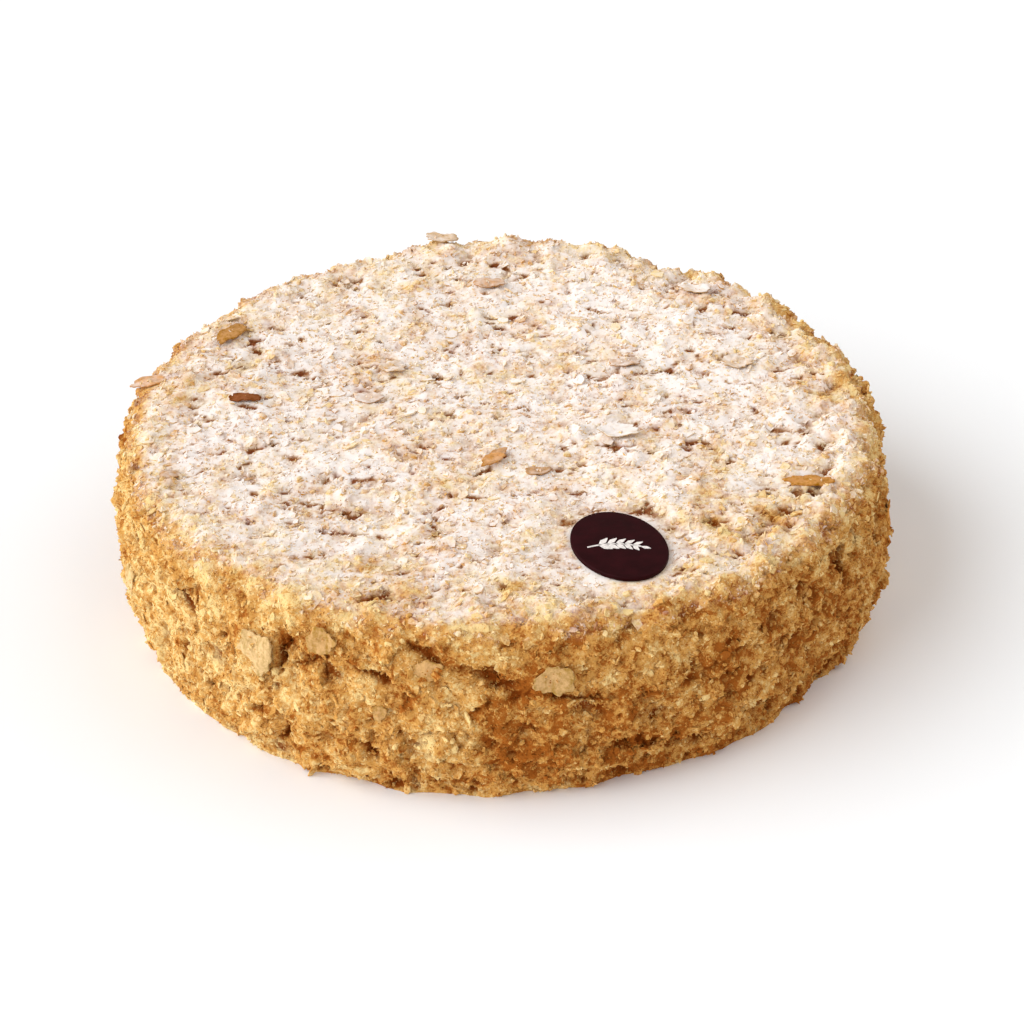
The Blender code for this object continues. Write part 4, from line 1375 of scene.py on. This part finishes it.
def new_material(name, roughness):
    """A material with its tree, its shader and the Object coordinates."""
    made = bpy.data.materials.new(name)
    made.use_nodes = True
    tree = made.node_tree
    shader = tree.nodes["Principled BSDF"]
    shader.inputs["Roughness"].default_value = roughness
    coordinates = add(tree, "ShaderNodeTexCoord")
    return made, tree, shader, coordinates


def rgba(tint):
    return (*tint, 1.0)


def add_bump(tree, shader, height, distance):
    bump = add(tree, "ShaderNodeBump", None, Height=height, Distance=distance, Strength=1.0)
    tree.links.new(bump.outputs["Normal"], shader.inputs["Normal"])


def finish_pastry(made, coordinates, baked, sugar, shine, depth, relief, shade):
    """Dry pastry of this colour, under sifted sugar: a rough, grainy face that hardly shines."""
    tree = made.node_tree
    shader = tree.nodes["Principled BSDF"]
    shader.inputs["Diffuse Roughness"].default_value = CHALKINESS
    shader.inputs["Specular IOR Level"].default_value = shine
    vector, normal = coordinates.outputs["Object"], coordinates.outputs["Normal"]
    places = {"Relief": relief, "Shade": shade, "Vector": vector, "Normal": normal}
    dusted = use_group(tree, sugar_group(), Dusting=attribute(tree, "dusting"), **places).outputs[0]
    tree.links.new(mix(tree, dusted, baked, rgba(sugar.tint)), shader.inputs["Base Color"])
    height = use_group(tree, grain_group(), Vector=vector, Sugar=dusted).outputs[0]
    add_bump(tree, shader, height, depth)


def crumb_material(scene):
    """Baked crumbs, with painted shade in the gaps and sugar where it is sifted."""
    known = bpy.data.materials.get("crumb crust coat")
    if known:
        return known
    made, tree, _, coordinates = new_material("crumb crust coat", CRUMB_ROUGHNESS)
    crust, sugar = scene.napoleon_crust, scene.napoleon_sugar
    relief, shade = attribute(tree, "relief"), attribute(tree, "shade")
    tints = {name: rgba(getattr(crust, name.lower())) for name in ("Pale", "Golden", "Toasted", "Pit")}
    places = {"Tone": attribute(tree, "tone"), "Vector": coordinates.outputs["Object"]}
    baked = use_group(tree, crumb_colour_group(), Relief=relief, Shade=shade, **tints, **places)
    finish_pastry(made, coordinates, baked.outputs[0], sugar, CRUMB_SHINE, CRUMB_BUMP, relief, shade)
    return made


def flake_material(scene):
    """Scraps of baked sheet: each has its own tint, with browned edges, streaks and grains."""
    made, tree, _, coordinates = new_material("baked flake", FLAKE_ROUGHNESS)
    vector = coordinates.outputs["Object"]
    drawn_out = add(tree, "ShaderNodeMapping", {"vector_type": "POINT"}, Vector=vector, Scale=STREAK_STRETCH)
    streak = ramp(tree, speckle(tree, drawn_out.outputs[0], *FLAKE_STREAKS), *STREAKED)
    fine = (speckle(tree, vector, *FINE_MOTTLES), FLAKE_FINE_WEIGHT)
    mottled = (speckle(tree, vector, *FLAKE_MOTTLES), PATCH_WEIGHT)
    tint = attribute(tree, "tint", "Color")
    darkening = {"Saturation": EDGE_SATURATION, "Value": EDGE_VALUE, "Color": tint}
    darker = add(tree, "ShaderNodeHueSaturation", None, **darkening).outputs[0]
    edge = ramp(tree, attribute(tree, "rim"), *BROWN_EDGE)
    browning = plus(tree, offset_sum(tree, FLAKE_BROWNING, fine, mottled), STREAK_WEIGHT, streak)
    browned = mix(tree, plus(tree, browning, EDGE_WEIGHT, edge, clamp=True), tint, darker)
    sugar = scene.napoleon_sugar
    finish_pastry(made, coordinates, browned, sugar, FLAKE_SHINE, FLAKE_BUMP, FLAKE_OPENNESS, 0.0)
    return made


def chocolate_material(scene):
    """Dark chocolate with a satin face, a little uneven."""
    made, tree, shader, coordinates = new_material("satin dark chocolate", SATIN_ROUGHNESS)
    shader.inputs["Specular IOR Level"].default_value = CHOCOLATE_SHINE
    vector = coordinates.outputs["Object"]
    tint = scene.napoleon_plaque.chocolate
    lighter = tuple(min(1.0, part * CHOCOLATE_BLOOM) for part in tint)
    cloudy = ramp(tree, speckle(tree, vector, *CHOCOLATE_CLOUDS), *CLOUDY)
    tree.links.new(mix(tree, cloudy, rgba(tint), rgba(lighter)), shader.inputs["Base Color"])
    smoothest, roughest = CHOCOLATE_ROUGHNESS
    rough = add(tree, "ShaderNodeMapRange", None, Value=cloudy, To_Min=smoothest, To_Max=roughest)
    tree.links.new(rough.outputs["Result"], shader.inputs["Roughness"])
    add_bump(tree, shader, speckle(tree, vector, *CHOCOLATE_WAVES), CHOCOLATE_BUMP)
    return made


def print_material(scene):
    """The cream-white print, slightly worn."""
    made, tree, shader, coordinates = new_material("cream print", SATIN_ROUGHNESS)
    tint = scene.napoleon_plaque.print_tint
    worn = ramp(tree, speckle(tree, coordinates.outputs["Object"], *PRINT_WEAR), *WORN)
    thin = tuple(part * THIN_PRINT for part in tint)
    tree.links.new(mix(tree, worn, rgba(thin), rgba(tint)), shader.inputs["Base Color"])
    return made


def floor_material(tint):
    """A plain pale floor with a hardly visible unevenness."""
    made, tree, shader, coordinates = new_material("pale floor", FLOOR_ROUGHNESS)
    cloudy = speckle(tree, coordinates.outputs["Object"], *FLOOR_CLOUDS)
    shade = tuple(part * FLOOR_SHADE for part in tint)
    tree.links.new(mix(tree, cloudy, rgba(tint), rgba(shade)), shader.inputs["Base Color"])
    return made


# The stage

CAMERA_DISTANCE = 1.2
CAMERA_ELEVATION = math.radians(32.4)
CAMERA_ROLL = math.radians(-1.2)
CAMERA_LENS, CAMERA_SENSOR = 135.0, 36.0
CAMERA_SHIFT = (0.01025, -0.01455)
LOOK_AT = Vector((0.268, -0.368, 30.5)) * MM
FLOOR_SIZE = 12.0
KEY_AZIMUTH, KEY_ELEVATION = math.radians(-167.0), math.radians(26.0)
KEY_SOFTNESS = math.radians(82.0)
OVERHEAD_AZIMUTH, OVERHEAD_ELEVATION = math.radians(16.0), math.radians(48.0)
OVERHEAD_DISTANCE, OVERHEAD_SIZE = 2.2, 2.4
FILL_AZIMUTH, FILL_ELEVATION = math.radians(-80.0), math.radians(12.0)
FILL_DISTANCE, FILL_SIZE = 2.0, 1.6


def add_light(name, kind, azimuth, elevation, distance):
    """A lamp in this direction from the cake, aimed at it."""
    level = math.cos(elevation)
    towards = Vector((level * math.cos(azimuth), level * math.sin(azimuth), math.sin(elevation)))
    lamp = link(name, bpy.data.lights.new(name, kind))
    lamp.location = LOOK_AT + towards * distance
    lamp.rotation_euler = (-towards).to_track_quat("-Z", "Y").to_euler()
    return lamp.data


def add_lights(settings):
    """A very soft light low on the left, a large panel above and behind, and a weak one low in front."""
    key = add_light("key", "SUN", KEY_AZIMUTH, KEY_ELEVATION, FILL_DISTANCE)
    key.energy, key.color, key.angle = settings.key, settings.key_tint, KEY_SOFTNESS
    overhead = add_light("overhead", "AREA", OVERHEAD_AZIMUTH, OVERHEAD_ELEVATION, OVERHEAD_DISTANCE)
    overhead.energy, overhead.size = settings.overhead, OVERHEAD_SIZE
    fill = add_light("fill", "AREA", FILL_AZIMUTH, FILL_ELEVATION, FILL_DISTANCE)
    fill.energy, fill.size = settings.fill, FILL_SIZE


def add_camera():
    data = bpy.data.cameras.new("camera")
    data.lens = CAMERA_LENS
    data.sensor_width = CAMERA_SENSOR
    data.shift_x, data.shift_y = CAMERA_SHIFT
    camera = link("camera", data)
    back = Vector((0.0, -math.cos(CAMERA_ELEVATION), math.sin(CAMERA_ELEVATION)))
    camera.location = LOOK_AT + back * CAMERA_DISTANCE
    tipped = Matrix.Rotation(math.pi / 2.0 - CAMERA_ELEVATION, 3, "X")
    camera.rotation_euler = (tipped @ Matrix.Rotation(CAMERA_ROLL, 3, "Z")).to_euler()
    bpy.context.scene.camera = camera


class NAPOLEON_OT_stage(bpy.types.Operator):
    """Set up the floor, the lights and the camera"""

    bl_idname = "napoleon.set_stage"
    bl_label = "Set Stage"

    def execute(self, context):
        settings = context.scene.napoleon_stage
        bm = bmesh.new()
        bmesh.ops.create_grid(bm, x_segments=1, y_segments=1, size=FLOOR_SIZE / 2.0)
        floor = new_piece("floor", bm)
        floor.data.materials.append(floor_material(settings.floor_tint))
        world = bpy.data.worlds.new("studio")
        world.use_nodes = True
        background = world.node_tree.nodes["Background"]
        background.inputs["Color"].default_value = rgba(settings.sky_tint)
        background.inputs["Strength"].default_value = settings.sky
        context.scene.world = world
        add_lights(settings)
        add_camera()
        context.scene.view_settings.view_transform = "Standard"
        return {"FINISHED"}


# The add-on

OPERATORS = (
    NAPOLEON_OT_crust,
    NAPOLEON_OT_fine_crumbs,
    NAPOLEON_OT_coarse_crumbs,
    NAPOLEON_OT_thin_flakes,
    NAPOLEON_OT_broad_flakes,
    NAPOLEON_OT_plaque,
    NAPOLEON_OT_sprig,
    NAPOLEON_OT_stage,
)
SETTINGS = (
    ("napoleon_crust", CrustSettings),
    ("napoleon_crumbs", CrumbSettings),
    ("napoleon_sugar", SugarSettings),
    ("napoleon_plaque", PlaqueSettings),
    ("napoleon_stage", StageSettings),
)


class NAPOLEON_PT_cake(bpy.types.Panel):
    """Lists the cake's settings and the steps that make it"""

    bl_idname = "NAPOLEON_PT_cake"
    bl_label = "Napoleon Cake"
    bl_space_type = "VIEW_3D"
    bl_region_type = "UI"
    bl_category = "Napoleon Cake"

    def draw(self, context):
        for name, kind in SETTINGS:
            box = self.layout.box()
            settings = getattr(context.scene, name)
            for field in kind.__annotations__:
                box.prop(settings, field)
        for operator in OPERATORS:
            self.layout.operator(operator.bl_idname)


def register():
    for name, kind in SETTINGS:
        bpy.utils.register_class(kind)
        setattr(bpy.types.Scene, name, PointerProperty(type=kind))
    for kind in (*OPERATORS, NAPOLEON_PT_cake):
        bpy.utils.register_class(kind)


def unregister():
    for kind in (NAPOLEON_PT_cake, *reversed(OPERATORS)):
        bpy.utils.unregister_class(kind)
    for name, kind in reversed(SETTINGS):
        delattr(bpy.types.Scene, name)
        bpy.utils.unregister_class(kind)


def run_operator(kind):
    """Calls an operator through bpy.ops, and stops the script if it doesn't finish."""
    family, name = kind.bl_idname.split(".")
    if "FINISHED" not in getattr(getattr(bpy.ops, family), name)():
        raise RuntimeError(f"{kind.bl_label} did not finish")


def main():
    register()
    for kind in OPERATORS:
        run_operator(kind)


if __name__ == "__main__":
    main()
